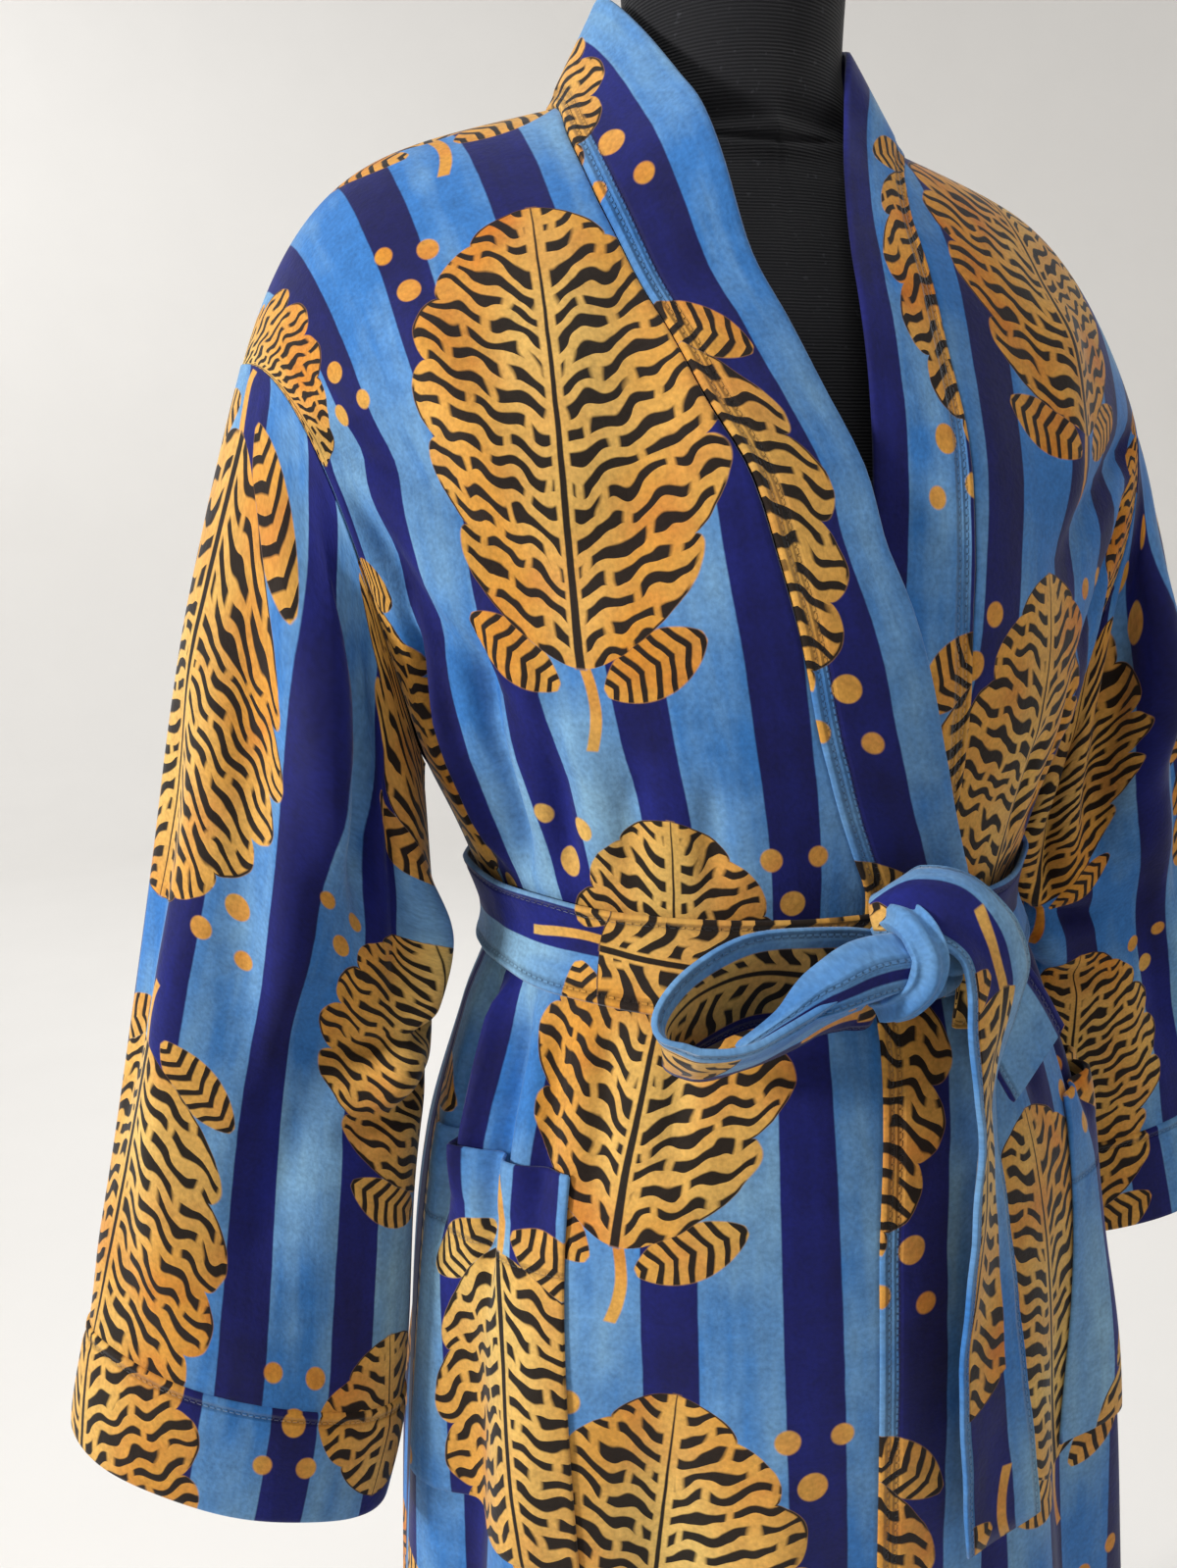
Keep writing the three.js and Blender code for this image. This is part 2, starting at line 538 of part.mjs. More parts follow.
const SLEEVE_SIDES = 24;
function sleeve(hand, rows) {
  const ring = sleeveRing(hand, rows);
  return wall(
    SLEEVE_SIDES,
    12,
    (u, v, side) => {
      const round = 2 * Math.PI * u;
      const share = v * (CUFF_SHARE - 0.0012);
      const leaving = v > 0 ? ease(-0.02, 0.2, share) : 0;
      return armhole(hand, round, CLOTH * side).lerp(ring(round, share, CLOTH * side), leaving);
    },
    true,
  );
}

// The cuff is a band of double cloth, and stands a little wider than the sleeve above it.
function cuff(hand, rows) {
  const ring = sleeveRing(hand, rows);
  return wall(
    SLEEVE_SIDES,
    3,
    (u, v, side) => ring(2 * Math.PI * u, mix(CUFF_SHARE, 1, v), (CLOTH + CUFF_OUT) * side),
    true,
  );
}

// A patch pocket: a wall over the same points of its front, which stands open at its top edge.
function pocket(point, columns, { far, near, gape }) {
  const across = near - far;
  const along = POCKET_ROWS.length - 1;
  return wall(across, along, (u, v, side) => {
    const open = gape * Math.sin(Math.PI * u) ** 1.5 * ease(0.45, 1, v);
    const h = POCKET_ROWS[Math.round(v * along)];
    const share = (far + across * u * mix(POCKET_WIDENS, 1, v)) / columns;
    return point(share, h, CLOTH + POCKET_GAP + open + CLOTH * side);
  });
}

// The belt round the waist, over every layer that it crosses; it dips towards the front.
function beltWaist() {
  const layers = (phi) => {
    const right = phi < 0 ? lapLift(phi, BELT_Z) : LAP_LIFT * (1 - ease(34 * DEG, 58 * DEG, phi));
    const band = (BAND_CLOTH - CLOTH) * ease(-25 * DEG, -5 * DEG, phi) * (1 - ease(34 * DEG, 52 * DEG, phi));
    return right + band;
  };
  return wall(
    48,
    2,
    (u, v, side) => {
      const turn = mix(-180, 180, u) * DEG;
      const back = Math.abs(turn) > 90 * DEG;
      const phi = back && turn < 0 ? turn + 2 * Math.PI : turn;
      const dip = back ? 0 : BELT_FALL * Math.cos(turn);
      const z = BELT_Z - dip + (v - 0.5) * BELT_WIDTH;
      const over = back ? 0 : layers(turn);
      const bulge = 1.4 + 1.2 * Math.abs(v - 0.5);
      const bare = bodyFold(phi, z);
      return onBody(back, phi, z, CLOTH + over + bulge - Math.min(bare, 0) + BELT_THICK * side);
    },
    true,
  );
}

// A strap with softened edges along a table of middle points and width directions.
function strap(rows, width, thick, steps) {
  const path = new THREE.CatmullRomCurve3(rows.map((r) => new THREE.Vector3(r.x, r.y, r.z)));
  const lean = new THREE.CatmullRomCurve3(rows.map((r) => new THREE.Vector3(r.wx, r.wy, r.wz).normalize()));
  const half = width / 2;
  const edge = thick * 0.45;
  const section = [
    [-half, 0],
    [-half + edge, thick / 2],
    [half - edge, thick / 2],
    [half, 0],
    [half - edge, -thick / 2],
    [-half + edge, -thick / 2],
  ];
  const rings = Array.from({ length: steps + 1 }, (_, i) => {
    const t = i / steps;
    const along = path.getTangent(t);
    const across = lean.getPoint(t).addScaledVector(along, -lean.getPoint(t).dot(along)).normalize();
    const face = along.clone().cross(across).normalize();
    return section.map(([w, d]) => path.getPoint(t).addScaledVector(across, w).addScaledVector(face, d));
  });
  return loft(rings);
}

function knot() {
  const geometry = new THREE.SphereGeometry(1, 18, 12);
  geometry.scale(KNOT.rx, KNOT.ry, KNOT.rz);
  geometry.rotateY(KNOT.lean * DEG);
  return geometry.translate(KNOT.x, KNOT.y, KNOT.z);
}

// The dress form's body, neck and closed ends in one solid.
function formBody() {
  const ring = (row) =>
    Array.from({ length: FORM_SIDES }, (_, i) => {
      const angle = (2 * Math.PI * i) / FORM_SIDES;
      const s = Math.sin(angle);
      const c = Math.cos(angle);
      const bend = 2 / row.power;
      const reach = c > 0 ? -row.front : row.back;
      const x = row.half * Math.sign(s) * Math.abs(s) ** bend;
      return new THREE.Vector3(x, row.y + reach * Math.abs(c) ** bend, row.z);
    });
  return loft(FORM.map(ring));
}

const turned = (profile, sides) =>
  new THREE.LatheGeometry(profile.map(([r, z]) => new THREE.Vector2(r, z)), sides).rotateX(Math.PI / 2);

function neckCap() {
  const { radius, thick, z, y } = NECK_CAP;
  const profile = [
    [0, 0],
    [radius - 2, 0],
    [radius, 2],
    [radius, thick - 3],
    [radius - 4, thick],
    [0, thick + 2],
  ];
  return turned(profile, 28).translate(0, y, z);
}

function pole() {
  const bottom = FOOT_TOP + SEAM_GAP;
  const top = FORM[0].z - SEAM_GAP;
  const profile = [
    [0, bottom],
    [POLE_RADIUS + 10, bottom],
    [POLE_RADIUS + 10, bottom + 4],
    [POLE_RADIUS, bottom + 16],
    [POLE_RADIUS, top - FLANGE_THICK - 10],
    [FLANGE_RADIUS, top - FLANGE_THICK],
    [FLANGE_RADIUS, top],
    [0, top],
  ];
  return turned(profile, 20);
}

function foot() {
  const profile = [
    [0, 0],
    [FOOT_RADIUS - 2, 0],
    [FOOT_RADIUS, 3],
    [FOOT_RADIUS, FOOT_RIM - 3],
    [FOOT_RADIUS - 5, FOOT_RIM],
    [60, FOOT_TOP - 4],
    [36, FOOT_TOP],
    [0, FOOT_TOP],
  ];
  return turned(profile, 36);
}

const velvet = (color) => new THREE.MeshStandardMaterial({ color, roughness: 0.95, metalness: 0 });
const LIGHT_BLUE = 0x4f8fd0;
const NAVY = 0x1f2470;
const GOLD = 0xd9a648;
const formCloth = new THREE.MeshStandardMaterial({ color: 0x16181b, roughness: 0.85, metalness: 0 });
const standMetal = new THREE.MeshStandardMaterial({ color: 0x1c1d20, roughness: 0.4, metalness: 0.6 });

const robe = new THREE.Group();
const add = (name, geometry, material) => {
  const mesh = new THREE.Mesh(geometry, material);
  mesh.name = name;
  robe.add(mesh);
};

const flat = () => 0;
const lapBand = (h) => lapLift(0, h);
const rightFront = frontPoint(-1, SEAM_RIGHT, lapLift);
const leftFront = frontPoint(1, SEAM_LEFT, flat);
const RIGHT_COLUMNS = 15;
const LEFT_COLUMNS = 12;
const bow = strap(BOW, BELT_WIDTH - 2, 5, 26);
const longTail = strap(LONG_TAIL, BELT_WIDTH, 5, 18);
const shortTail = strap(SHORT_TAIL, BELT_WIDTH - 4, 5, 7);

add("back", backPanel(), velvet(LIGHT_BLUE));
add("front_right", frontPanel(rightFront, RIGHT_COLUMNS), velvet(LIGHT_BLUE));
add("front_left", frontPanel(leftFront, LEFT_COLUMNS), velvet(LIGHT_BLUE));
add("neckband_right", neckband(-1, SEAM_RIGHT, STAND_RIGHT, lapBand), velvet(NAVY));
add("neckband_left", neckband(1, SEAM_LEFT, STAND_LEFT, flat), velvet(NAVY));
add("sleeve_right", sleeve(-1, SLEEVE_RIGHT), velvet(LIGHT_BLUE));
add("sleeve_left", sleeve(1, SLEEVE_LEFT), velvet(LIGHT_BLUE));
add("cuff_right", cuff(-1, SLEEVE_RIGHT), velvet(GOLD));
add("cuff_left", cuff(1, SLEEVE_LEFT), velvet(GOLD));
add("pocket_right", pocket(rightFront, RIGHT_COLUMNS, POCKET_RIGHT), velvet(GOLD));
add("pocket_left", pocket(leftFront, LEFT_COLUMNS, POCKET_LEFT), velvet(GOLD));
add("belt_waist", beltWaist(), velvet(NAVY));
add("belt_knot", knot(), velvet(LIGHT_BLUE));
add("belt_bow", bow, velvet(GOLD));
add("belt_tail_long", longTail, velvet(NAVY));
add("belt_tail_short", shortTail, velvet(LIGHT_BLUE));
add("form_body", formBody(), formCloth);
add("form_neck_cap", neckCap(), formCloth);
add("stand_pole", pole(), standMetal);
add("stand_foot", foot(), standMetal);

export default robe;
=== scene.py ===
"""Looks of a belted kimono robe in printed striped velvet, on a limbless dress form with a round foot.

Metres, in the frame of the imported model: +Z is up, -Y is the front and +X is the wearer's left.
"""

import logging
import math
from collections.abc import Callable, Sequence
from dataclasses import dataclass, field
from enum import Enum

import bpy
import numpy as np
from mathutils import Matrix, Vector


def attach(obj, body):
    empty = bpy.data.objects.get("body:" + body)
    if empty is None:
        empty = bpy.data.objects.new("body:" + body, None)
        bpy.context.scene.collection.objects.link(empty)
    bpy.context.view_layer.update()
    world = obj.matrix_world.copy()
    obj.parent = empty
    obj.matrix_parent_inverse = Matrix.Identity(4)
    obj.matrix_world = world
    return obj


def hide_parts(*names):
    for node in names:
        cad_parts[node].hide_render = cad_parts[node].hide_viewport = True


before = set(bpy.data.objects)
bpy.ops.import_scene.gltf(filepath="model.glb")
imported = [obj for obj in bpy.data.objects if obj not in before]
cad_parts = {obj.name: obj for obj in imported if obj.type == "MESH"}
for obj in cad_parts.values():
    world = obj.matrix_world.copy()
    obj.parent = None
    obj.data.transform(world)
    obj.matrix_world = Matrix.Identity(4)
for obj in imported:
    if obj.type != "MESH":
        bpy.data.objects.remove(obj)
LOG = logging.getLogger("robe")
DEG = math.pi / 180
Array = np.ndarray


# Number tools

class Curve:
    """A smooth curve through the rows of a table, which never swings past them."""

    def __init__(self, x: Sequence[float], y: Sequence[float]) -> None:
        """Fits a monotone cubic.

        Args:
            x: Rising places along the curve.
            y: The value at each place.
        """
        self.x, self.y = np.asarray(x, float), np.asarray(y, float)
        self.step = np.diff(self.x)
        slope = np.diff(self.y) / self.step
        inner = np.zeros(len(self.x) - 2)
        left, right = slope[:-1], slope[1:]
        same = left * right > 0
        a, b = 2 * self.step[1:] + self.step[:-1], self.step[1:] + 2 * self.step[:-1]
        inner[same] = (a + b)[same] / (a[same] / left[same] + b[same] / right[same])
        self.tangent = np.concatenate([[slope[0]], inner, [slope[-1]]])

    def __call__(self, at: Array | float) -> Array:
        """Value at each place, by the cubic of its interval, held at the end values outside.

        Args:
            at: Places along the curve.

        Returns:
            The values, in the shape of at.
        """
        v = np.clip(at, self.x[0], self.x[-1])
        i = np.clip(np.searchsorted(self.x, v, side="right") - 1, 0, len(self.x) - 2)
        t = (v - self.x[i]) / self.step[i]
        rise = t * t * (3 - 2 * t)
        lead = t * (1 - t) ** 2 * self.tangent[i] - t * t * (1 - t) * self.tangent[i + 1]
        return self.y[i] + (self.y[i + 1] - self.y[i]) * rise + self.step[i] * lead


def curves(rows: Sequence[Sequence[float]]) -> list[Curve]:
    """A curve for each column of a table after its first, which they all run along."""
    table = np.array(rows, float)
    return [Curve(table[:, 0], table[:, k]) for k in range(1, table.shape[1])]


def mix(a: Array | float, b: Array | float, t: Array | float) -> Array:
    """The value between a and b at share t."""
    return a + (b - a) * t


def ease(low: float, high: float, v: Array | float) -> Array:
    """A smooth step from 0 at low to 1 at high."""
    t = np.clip((np.asarray(v, float) - low) / (high - low), 0, 1)
    return t * t * (3 - 2 * t)


def hump(v: Array, middle: Array | float, wide: float) -> Array:
    """A bell of height 1 at middle, with that half width."""
    return np.exp(-(((v - middle) / wide) ** 2))


def points(x: Array, y: Array, z: Array) -> Array:
    """Joins three coordinate grids into a grid of points."""
    x, y, z = np.broadcast_arrays(x, y, z)
    return np.stack([x, y, z], -1)


def unit(v: Array) -> Array:
    """Each vector made one long."""
    return v / np.maximum(np.linalg.norm(v, axis=-1, keepdims=True), 1e-12)


@dataclass(frozen=True)
class Ripple:
    """A soft irregular waviness of cloth: a sum of sine waves along set directions."""

    size: float
    seed: int = 1
    length: float = 0.11

    def __call__(self, p: Array) -> Array:
        """Height at each point: the waves' mean, each a sine of the point along its own direction.

        Args:
            p: Points, in the unit of the size and the length.

        Returns:
            Heights, in the same unit.
        """
        rng = np.random.default_rng(self.seed)
        total = np.zeros(p.shape[:-1])
        for _ in range(7):
            way = rng.normal(size=3) * [1, 1, 0.45]
            way *= 2 * math.pi / self.length / np.linalg.norm(way) * rng.uniform(0.6, 1.5)
            total += np.sin(p @ way + rng.uniform(0, 6.3))
        return self.size * total / 3


@dataclass(frozen=True)
class Crease:
    """A trough or ridge that runs between two places on a surface with two coordinates."""

    start: tuple[float, float]
    end: tuple[float, float]
    wide: float
    high: float
    bow: float = 0.0

    def __call__(self, a: Array, b: Array) -> Array:
        """Height of the crease: a bell across its line, which fades at both ends.

        Args:
            a: First coordinate of each place.
            b: Second coordinate of each place.

        Returns:
            Heights in the unit of the crease, positive outwards.
        """
        (a0, b0), (a1, b1) = self.start, self.end
        length = math.hypot(a1 - a0, b1 - b0)
        ta, tb = (a1 - a0) / length, (b1 - b0) / length
        along = (a - a0) * ta + (b - b0) * tb
        t = np.clip(along / length, 0, 1)
        across = -(a - a0) * tb + (b - b0) * ta - self.bow * np.sin(math.pi * t)
        fade = ease(-0.15, 0.25, along / length) * (1 - ease(0.7, 1.15, along / length))
        return self.high * np.exp(-((across / self.wide) ** 2)) * fade


def creased(creases: Sequence[Crease], a: Array, b: Array) -> Array:
    """Sum of the creases' heights."""
    return sum((c(a, b) for c in creases), np.zeros(np.broadcast(a, b).shape))


# Meshes

def linked(name: str, data: bpy.types.Mesh) -> bpy.types.Object:
    """A smooth object of a mesh, linked to the scene.

    Args:
        name: The piece's name.
        data: The mesh.

    Returns:
        The object.
    """
    data.polygons.foreach_set("use_smooth", np.ones(len(data.polygons), bool))
    data.update()
    made = bpy.data.objects.new(name, data)
    bpy.context.scene.collection.objects.link(made)
    return made


def volume(co: Array, quads: Array) -> float:
    """Six times the volume inside the faces, below 0 where they point inwards."""
    a, b, c, d = (co[quads[:, k]] for k in range(4))
    return (np.einsum("ij,ij->i", a, np.cross(b, c)) + np.einsum("ij,ij->i", a, np.cross(c, d))).sum()


class Solid:
    """Closed meshes built from grids of points."""

    @staticmethod
    def quads(rows: int, columns: int, ring: bool) -> Array:
        """Corner numbers of the faces between neighbouring grid points, row by row.

        Args:
            rows: Rows of points.
            columns: Columns of points.
            ring: True where the last column joins the first.

        Returns:
            An array of four corners a face.
        """
        j, i = np.meshgrid(np.arange(rows - 1), np.arange(columns if ring else columns - 1), indexing="ij")
        k = (i + 1) % columns
        low, high = j * columns, (j + 1) * columns
        return np.stack([low + i, low + k, high + k, high + i], -1).reshape(-1, 4)

    @staticmethod
    def mesh(name: str, co: Array, faces: Array, uv: Array) -> bpy.types.Object:
        """A mesh object whose faces point outwards, by the sign of its volume.

        Args:
            name: The piece's name.
            co: Corner points.
            faces: The four corners of each face.
            uv: A texture place for each face corner.

        Returns:
            The object, linked and smooth.
        """
        if volume(co, faces) < 0:
            faces, uv = faces[:, ::-1], uv[:, ::-1]
        data = bpy.data.meshes.new(name)
        data.from_pydata(co.tolist(), [], faces.tolist())
        layer = data.uv_layers.new(name="cloth")
        layer.data.foreach_set("uv", uv.reshape(-1).astype(np.float32))
        return linked(name, data)

    @classmethod
    def shell(cls, name: str, outer: Array, inner: Array, uv: Array, ring: bool = False) -> bpy.types.Object:
        """A sheet between two grids, closed round its edges with a rounded rim.

        The rim's middle row stands out from both grids' edges by half the thickness.

        Args:
            name: The piece's name.
            outer: Rows by columns by 3 points of the face.
            inner: The same of the back.
            uv: Flat places on the cloth, rows by columns by 2; a ring has one more column.
            ring: True where the last column joins the first.

        Returns:
            The mesh object.
        """
        rows, columns = outer.shape[:2]
        co = np.concatenate([outer.reshape(-1, 3), inner.reshape(-1, 3)])
        grid = cls.quads(rows, columns, ring)
        wide = columns + 1 if ring else columns
        j, i = np.meshgrid(np.arange(rows - 1), np.arange(wide - 1), indexing="ij")
        flat = np.stack([uv[j, i], uv[j, i + 1], uv[j + 1, i + 1], uv[j + 1, i]], -2).reshape(-1, 4, 2)
        n = rows * columns
        faces, places, extra = [grid, grid[:, ::-1] + n], [flat, flat[:, ::-1]], []
        number = np.arange(n).reshape(rows, columns)
        edges = [(number[0], uv[0], 1), (number[-1], uv[-1], -1)]
        if not ring:
            edges += [(number[:, 0], uv[:, 0], -1), (number[:, -1], uv[:, -1], 1)]
        neighbours = [number[1], number[-2], number[:, 1], number[:, -2]]
        base = 2 * n
        for (edge, flat_edge, way), near in zip(edges, neighbours):
            middle = (co[edge] + co[edge + n]) / 2
            away = unit(co[edge] + co[edge + n] - co[near] - co[near + n])
            thick = np.linalg.norm(co[edge] - co[edge + n], axis=-1, keepdims=True)
            extra.append(middle + away * thick * 0.45)
            m = np.arange(len(edge)) + base
            base += len(edge)
            k = np.arange(len(edge)) if ring else np.arange(len(edge) - 1)
            nxt = (k + 1) % len(edge)
            this, that = flat_edge[k], flat_edge[k + 1]
            for low, high in ((edge, m), (m, edge + n)):
                quad = np.stack([high[k], high[nxt], low[nxt], low[k]], -1)
                place = np.stack([this, that, that, this], -2)
                faces.append(quad if way > 0 else quad[:, ::-1])
                places.append(place if way > 0 else place[:, ::-1])
        if not ring:
            faces.append(cls._corners(number, n, [len(e[0]) for e in edges]))
            places.append(np.repeat(uv[[0, 0, -1, -1], [0, -1, 0, -1]][:, None], 4, 1))
        co = np.concatenate([co, *extra])
        return cls.mesh(name, co, np.concatenate(faces), np.concatenate(places))

    @staticmethod
    def _corners(number: Array, n: int, sizes: list[int]) -> Array:
        """The quads that close a rim at its four corners, between its two middle points there.

        Args:
            number: Grid of corner numbers of the face.
            n: How many there are, which is the offset of the back's numbers.
            sizes: Points in each of the four edges.

        Returns:
            Four faces.
        """
        start = 2 * n + np.concatenate([[0], np.cumsum(sizes)])
        bottom, top, left, right = start[0], start[1], start[2], start[3]
        last, high = sizes[0] - 1, sizes[2] - 1
        cases = [
            (number[0, 0], bottom, left, True),
            (number[0, -1], bottom + last, right, False),
            (number[-1, 0], top, left + high, False),
            (number[-1, -1], top + last, right + high, True),
        ]
        out = []
        for a, p, q, turned in cases:
            quad = [a, p, a + n, q]
            out.append(quad[::-1] if turned else quad)
        return np.array(out)

    @classmethod
    def loft(cls, name: str, rings: Array, uv: Array | None = None) -> bpy.types.Object:
        """A solid through closed rings, with a fan of faces to each end's middle.

        Args:
            name: The piece's name.
            rings: Rings by points by 3.
            uv: Places, rings by points + 1 by 2, or None.

        Returns:
            The mesh object.
        """
        rows, columns = rings.shape[:2]
        co = np.concatenate([rings.reshape(-1, 3), rings[0].mean(0)[None], rings[-1].mean(0)[None]])
        grid = cls.quads(rows, columns, True)
        i = np.arange(columns)
        k = (i + 1) % columns
        low, high = rows * columns, rows * columns + 1
        top = (rows - 1) * columns
        caps = [np.stack([np.full(columns, low), k, i], -1)]
        caps.append(np.stack([np.full(columns, high), top + i, top + k], -1))
        data = bpy.data.meshes.new(name)
        faces = grid.tolist() + np.concatenate(caps).tolist()
        if volume(co, grid) < 0:
            faces = [f[::-1] for f in faces]
        data.from_pydata(co.tolist(), [], faces)
        if uv is not None:
            layer = data.uv_layers.new(name="cloth")
            loops = np.array([v for f in faces for v in f])
            ring = np.minimum(loops // columns, rows - 1)
            ring[loops == low] = 0
            side = np.where(loops < low, loops % columns, 0)
            # The last column of faces crosses the seam, and its place there is past the last column's.
            count = np.array([len(f) for f in faces])
            face_of = np.repeat(np.arange(len(faces)), count)
            crosses = (face_of < len(grid)) & (face_of % columns == columns - 1)
            side = np.where(crosses & (side == 0), columns, side)
            layer.data.foreach_set("uv", uv[ring, side].reshape(-1).astype(np.float32))
        return linked(name, data)


# Shader tools

class Sock:
    """A number that varies over a surface; arithmetic on it adds Math nodes."""

    def __init__(self, kit: "Kit", socket: bpy.types.NodeSocket) -> None:
        """Wraps an output socket of a node tree."""
        self.kit, self.socket = kit, socket

    def _math(self, operation: str, *values: "Sock | float") -> "Sock":
        """One Math node on this and other values."""
        return self.kit.math(operation, *values)

    def __add__(self, o: "Sock | float") -> "Sock":
        """Sum."""
        return self._math("ADD", self, o)

    def __sub__(self, o: "Sock | float") -> "Sock":
        """Difference."""
        return self._math("SUBTRACT", self, o)

    def __rsub__(self, o: "Sock | float") -> "Sock":
        """Difference, from a number."""
        return self._math("SUBTRACT", o, self)

    def __mul__(self, o: "Sock | float") -> "Sock":
        """Product."""
        return self._math("MULTIPLY", self, o)

    def __truediv__(self, o: "Sock | float") -> "Sock":
        """Quotient."""
        return self._math("DIVIDE", self, o)

    def __pow__(self, o: "Sock | float") -> "Sock":
        """Power."""
        return self._math("POWER", self, o)

    __radd__, __rmul__ = __add__, __mul__

    def abs(self) -> "Sock":
        """Size without sign."""
        return self._math("ABSOLUTE", self)

    def sin(self) -> "Sock":
        """Sine."""
        return self._math("SINE", self)

    def floor(self) -> "Sock":
        """The whole number below."""
        return self._math("FLOOR", self)

    def frac(self) -> "Sock":
        """What is left past the whole number below."""
        return self._math("FRACT", self)

    def min(self, o: "Sock | float") -> "Sock":
        """The lower of two."""
        return self._math("MINIMUM", self, o)

    def max(self, o: "Sock | float") -> "Sock":
        """The higher of two."""
        return self._math("MAXIMUM", self, o)

    def below(self, edge: "Sock | float", soft: float) -> "Sock":
        """1 where this is under an edge and 0 above it, over a soft width.

        Args:
            edge: The edge, a number or a Sock.
            soft: Width of the soft step.

        Returns:
            A Sock from 0 to 1.
        """
        linked_edge = isinstance(edge, Sock)
        rise = (edge - self) / soft + 0.5 if linked_edge else (edge + 0.5 * soft - self) / soft
        return self.kit.math("ADD", rise, 0.0, clamp=True)

    def above(self, edge: "Sock | float", soft: float) -> "Sock":
        """1 where this is over an edge and 0 under it, over a soft width."""
        return 1 - self.below(edge, soft)


class Kit:
    """Builds one material's node tree."""

    def __init__(self, name: str) -> None:
        """Starts an empty tree with its output.

        Args:
            name: The material's name.
        """
        self.material = bpy.data.materials.new(name)
        self.material.use_nodes = True
        self.tree = self.material.node_tree
        self.tree.nodes.clear()
        self.output = self.tree.nodes.new("ShaderNodeOutputMaterial")

    def node(self, kind: str, settings: dict | None = None, **sockets: object) -> bpy.types.Node:
        """Adds a node: its settings first, then the values or links of its sockets.

        Args:
            kind: The node's type, without the words ShaderNode.
            settings: Properties of the node.
            **sockets: Values or links by socket name, with _ for a space, or by number as i0, i1.

        Returns:
            The node.
        """
        made = self.tree.nodes.new("ShaderNode" + kind)
        for key, value in (settings or {}).items():
            setattr(made, key, value)
        for key, value in sockets.items():
            number = key[1:].isdigit() and key[0] == "i"
            socket = made.inputs[int(key[1:])] if number else made.inputs[key.replace("_", " ")]
            if isinstance(value, Sock):
                value = value.socket
            if isinstance(value, bpy.types.NodeSocket):
                self.tree.links.new(value, socket)
            else:
                socket.default_value = value
        return made

    def math(self, operation: str, *values: "Sock | float", clamp: bool = False) -> Sock:
        """A Math node, as a Sock.

        Args:
            operation: Its operation.
            values: Its inputs, in order.
            clamp: Whether it keeps to 0 to 1.

        Returns:
            The result.
        """
        settings = {"operation": operation, "use_clamp": clamp}
        sockets = {f"i{k}": v for k, v in enumerate(values)}
        return Sock(self, self.node("Math", settings, **sockets).outputs[0])

    def blend(self, share: "Sock | float", a: object, b: object) -> bpy.types.NodeSocket:
        """Colour a where share is 0 and b where it is 1.

        Args:
            share: Where between them.
            a: A colour or a colour socket.
            b: Another.

        Returns:
            The colour socket.
        """
        settings = {"data_type": "RGBA", "clamp_factor": True}
        colours = [(*c, 1) if isinstance(c, tuple) and len(c) == 3 else c for c in (a, b)]
        return self.node("Mix", settings, i0=share, i6=colours[0], i7=colours[1]).outputs[2]

    def noise(self, vector: bpy.types.NodeSocket, scale: float, detail: float = 2.0) -> Sock:
        """Smooth noise about 0.5."""
        return Sock(self, self.node("TexNoise", None, Vector=vector, Scale=scale, Detail=detail).outputs[0])

    def object_place(self) -> bpy.types.NodeSocket:
        """The place on the object, in metres."""
        return self.node("TexCoord").outputs["Object"]

    def cloth_place(self) -> bpy.types.NodeSocket:
        """The flat place on the cloth, in metres."""
        return self.node("UVMap", {"uv_map": "cloth"}).outputs[0]

    def bump(self, height: Sock, distance: float, strength: float = 1.0,
             under: bpy.types.NodeSocket | None = None) -> bpy.types.NodeSocket:
        """A bumped normal from a height from 0 to 1.

        Args:
            height: The height.
            distance: Its size in metres.
            strength: How much of it shows.
            under: A normal that it starts from.

        Returns:
            The normal socket.
        """
        made = self.node("Bump", None, Height=height, Distance=distance, Strength=strength)
        if under is not None:
            self.tree.links.new(under, made.inputs["Normal"])
        return made.outputs[0]

    def finish(self, **sockets: object) -> bpy.types.Material:
        """Ends the tree in a Principled shader with these sockets and returns the material."""
        shader = self.node("BsdfPrincipled", None, **sockets)
        self.tree.links.new(shader.outputs[0], self.output.inputs["Surface"])
        return self.material


def linear(r: float, g: float, b: float) -> tuple[float, float, float]:
    """A colour given as it shows on a screen, 0 to 255, as light."""
    return tuple(((v / 255 + 0.055) / 1.055) ** 2.4 if v > 10 else v / 3294.6 for v in (r, g, b))


class Grain(Enum):
    """Which way the printed leaves of a piece point."""

    UP = 1.0
    DOWN = -1.0


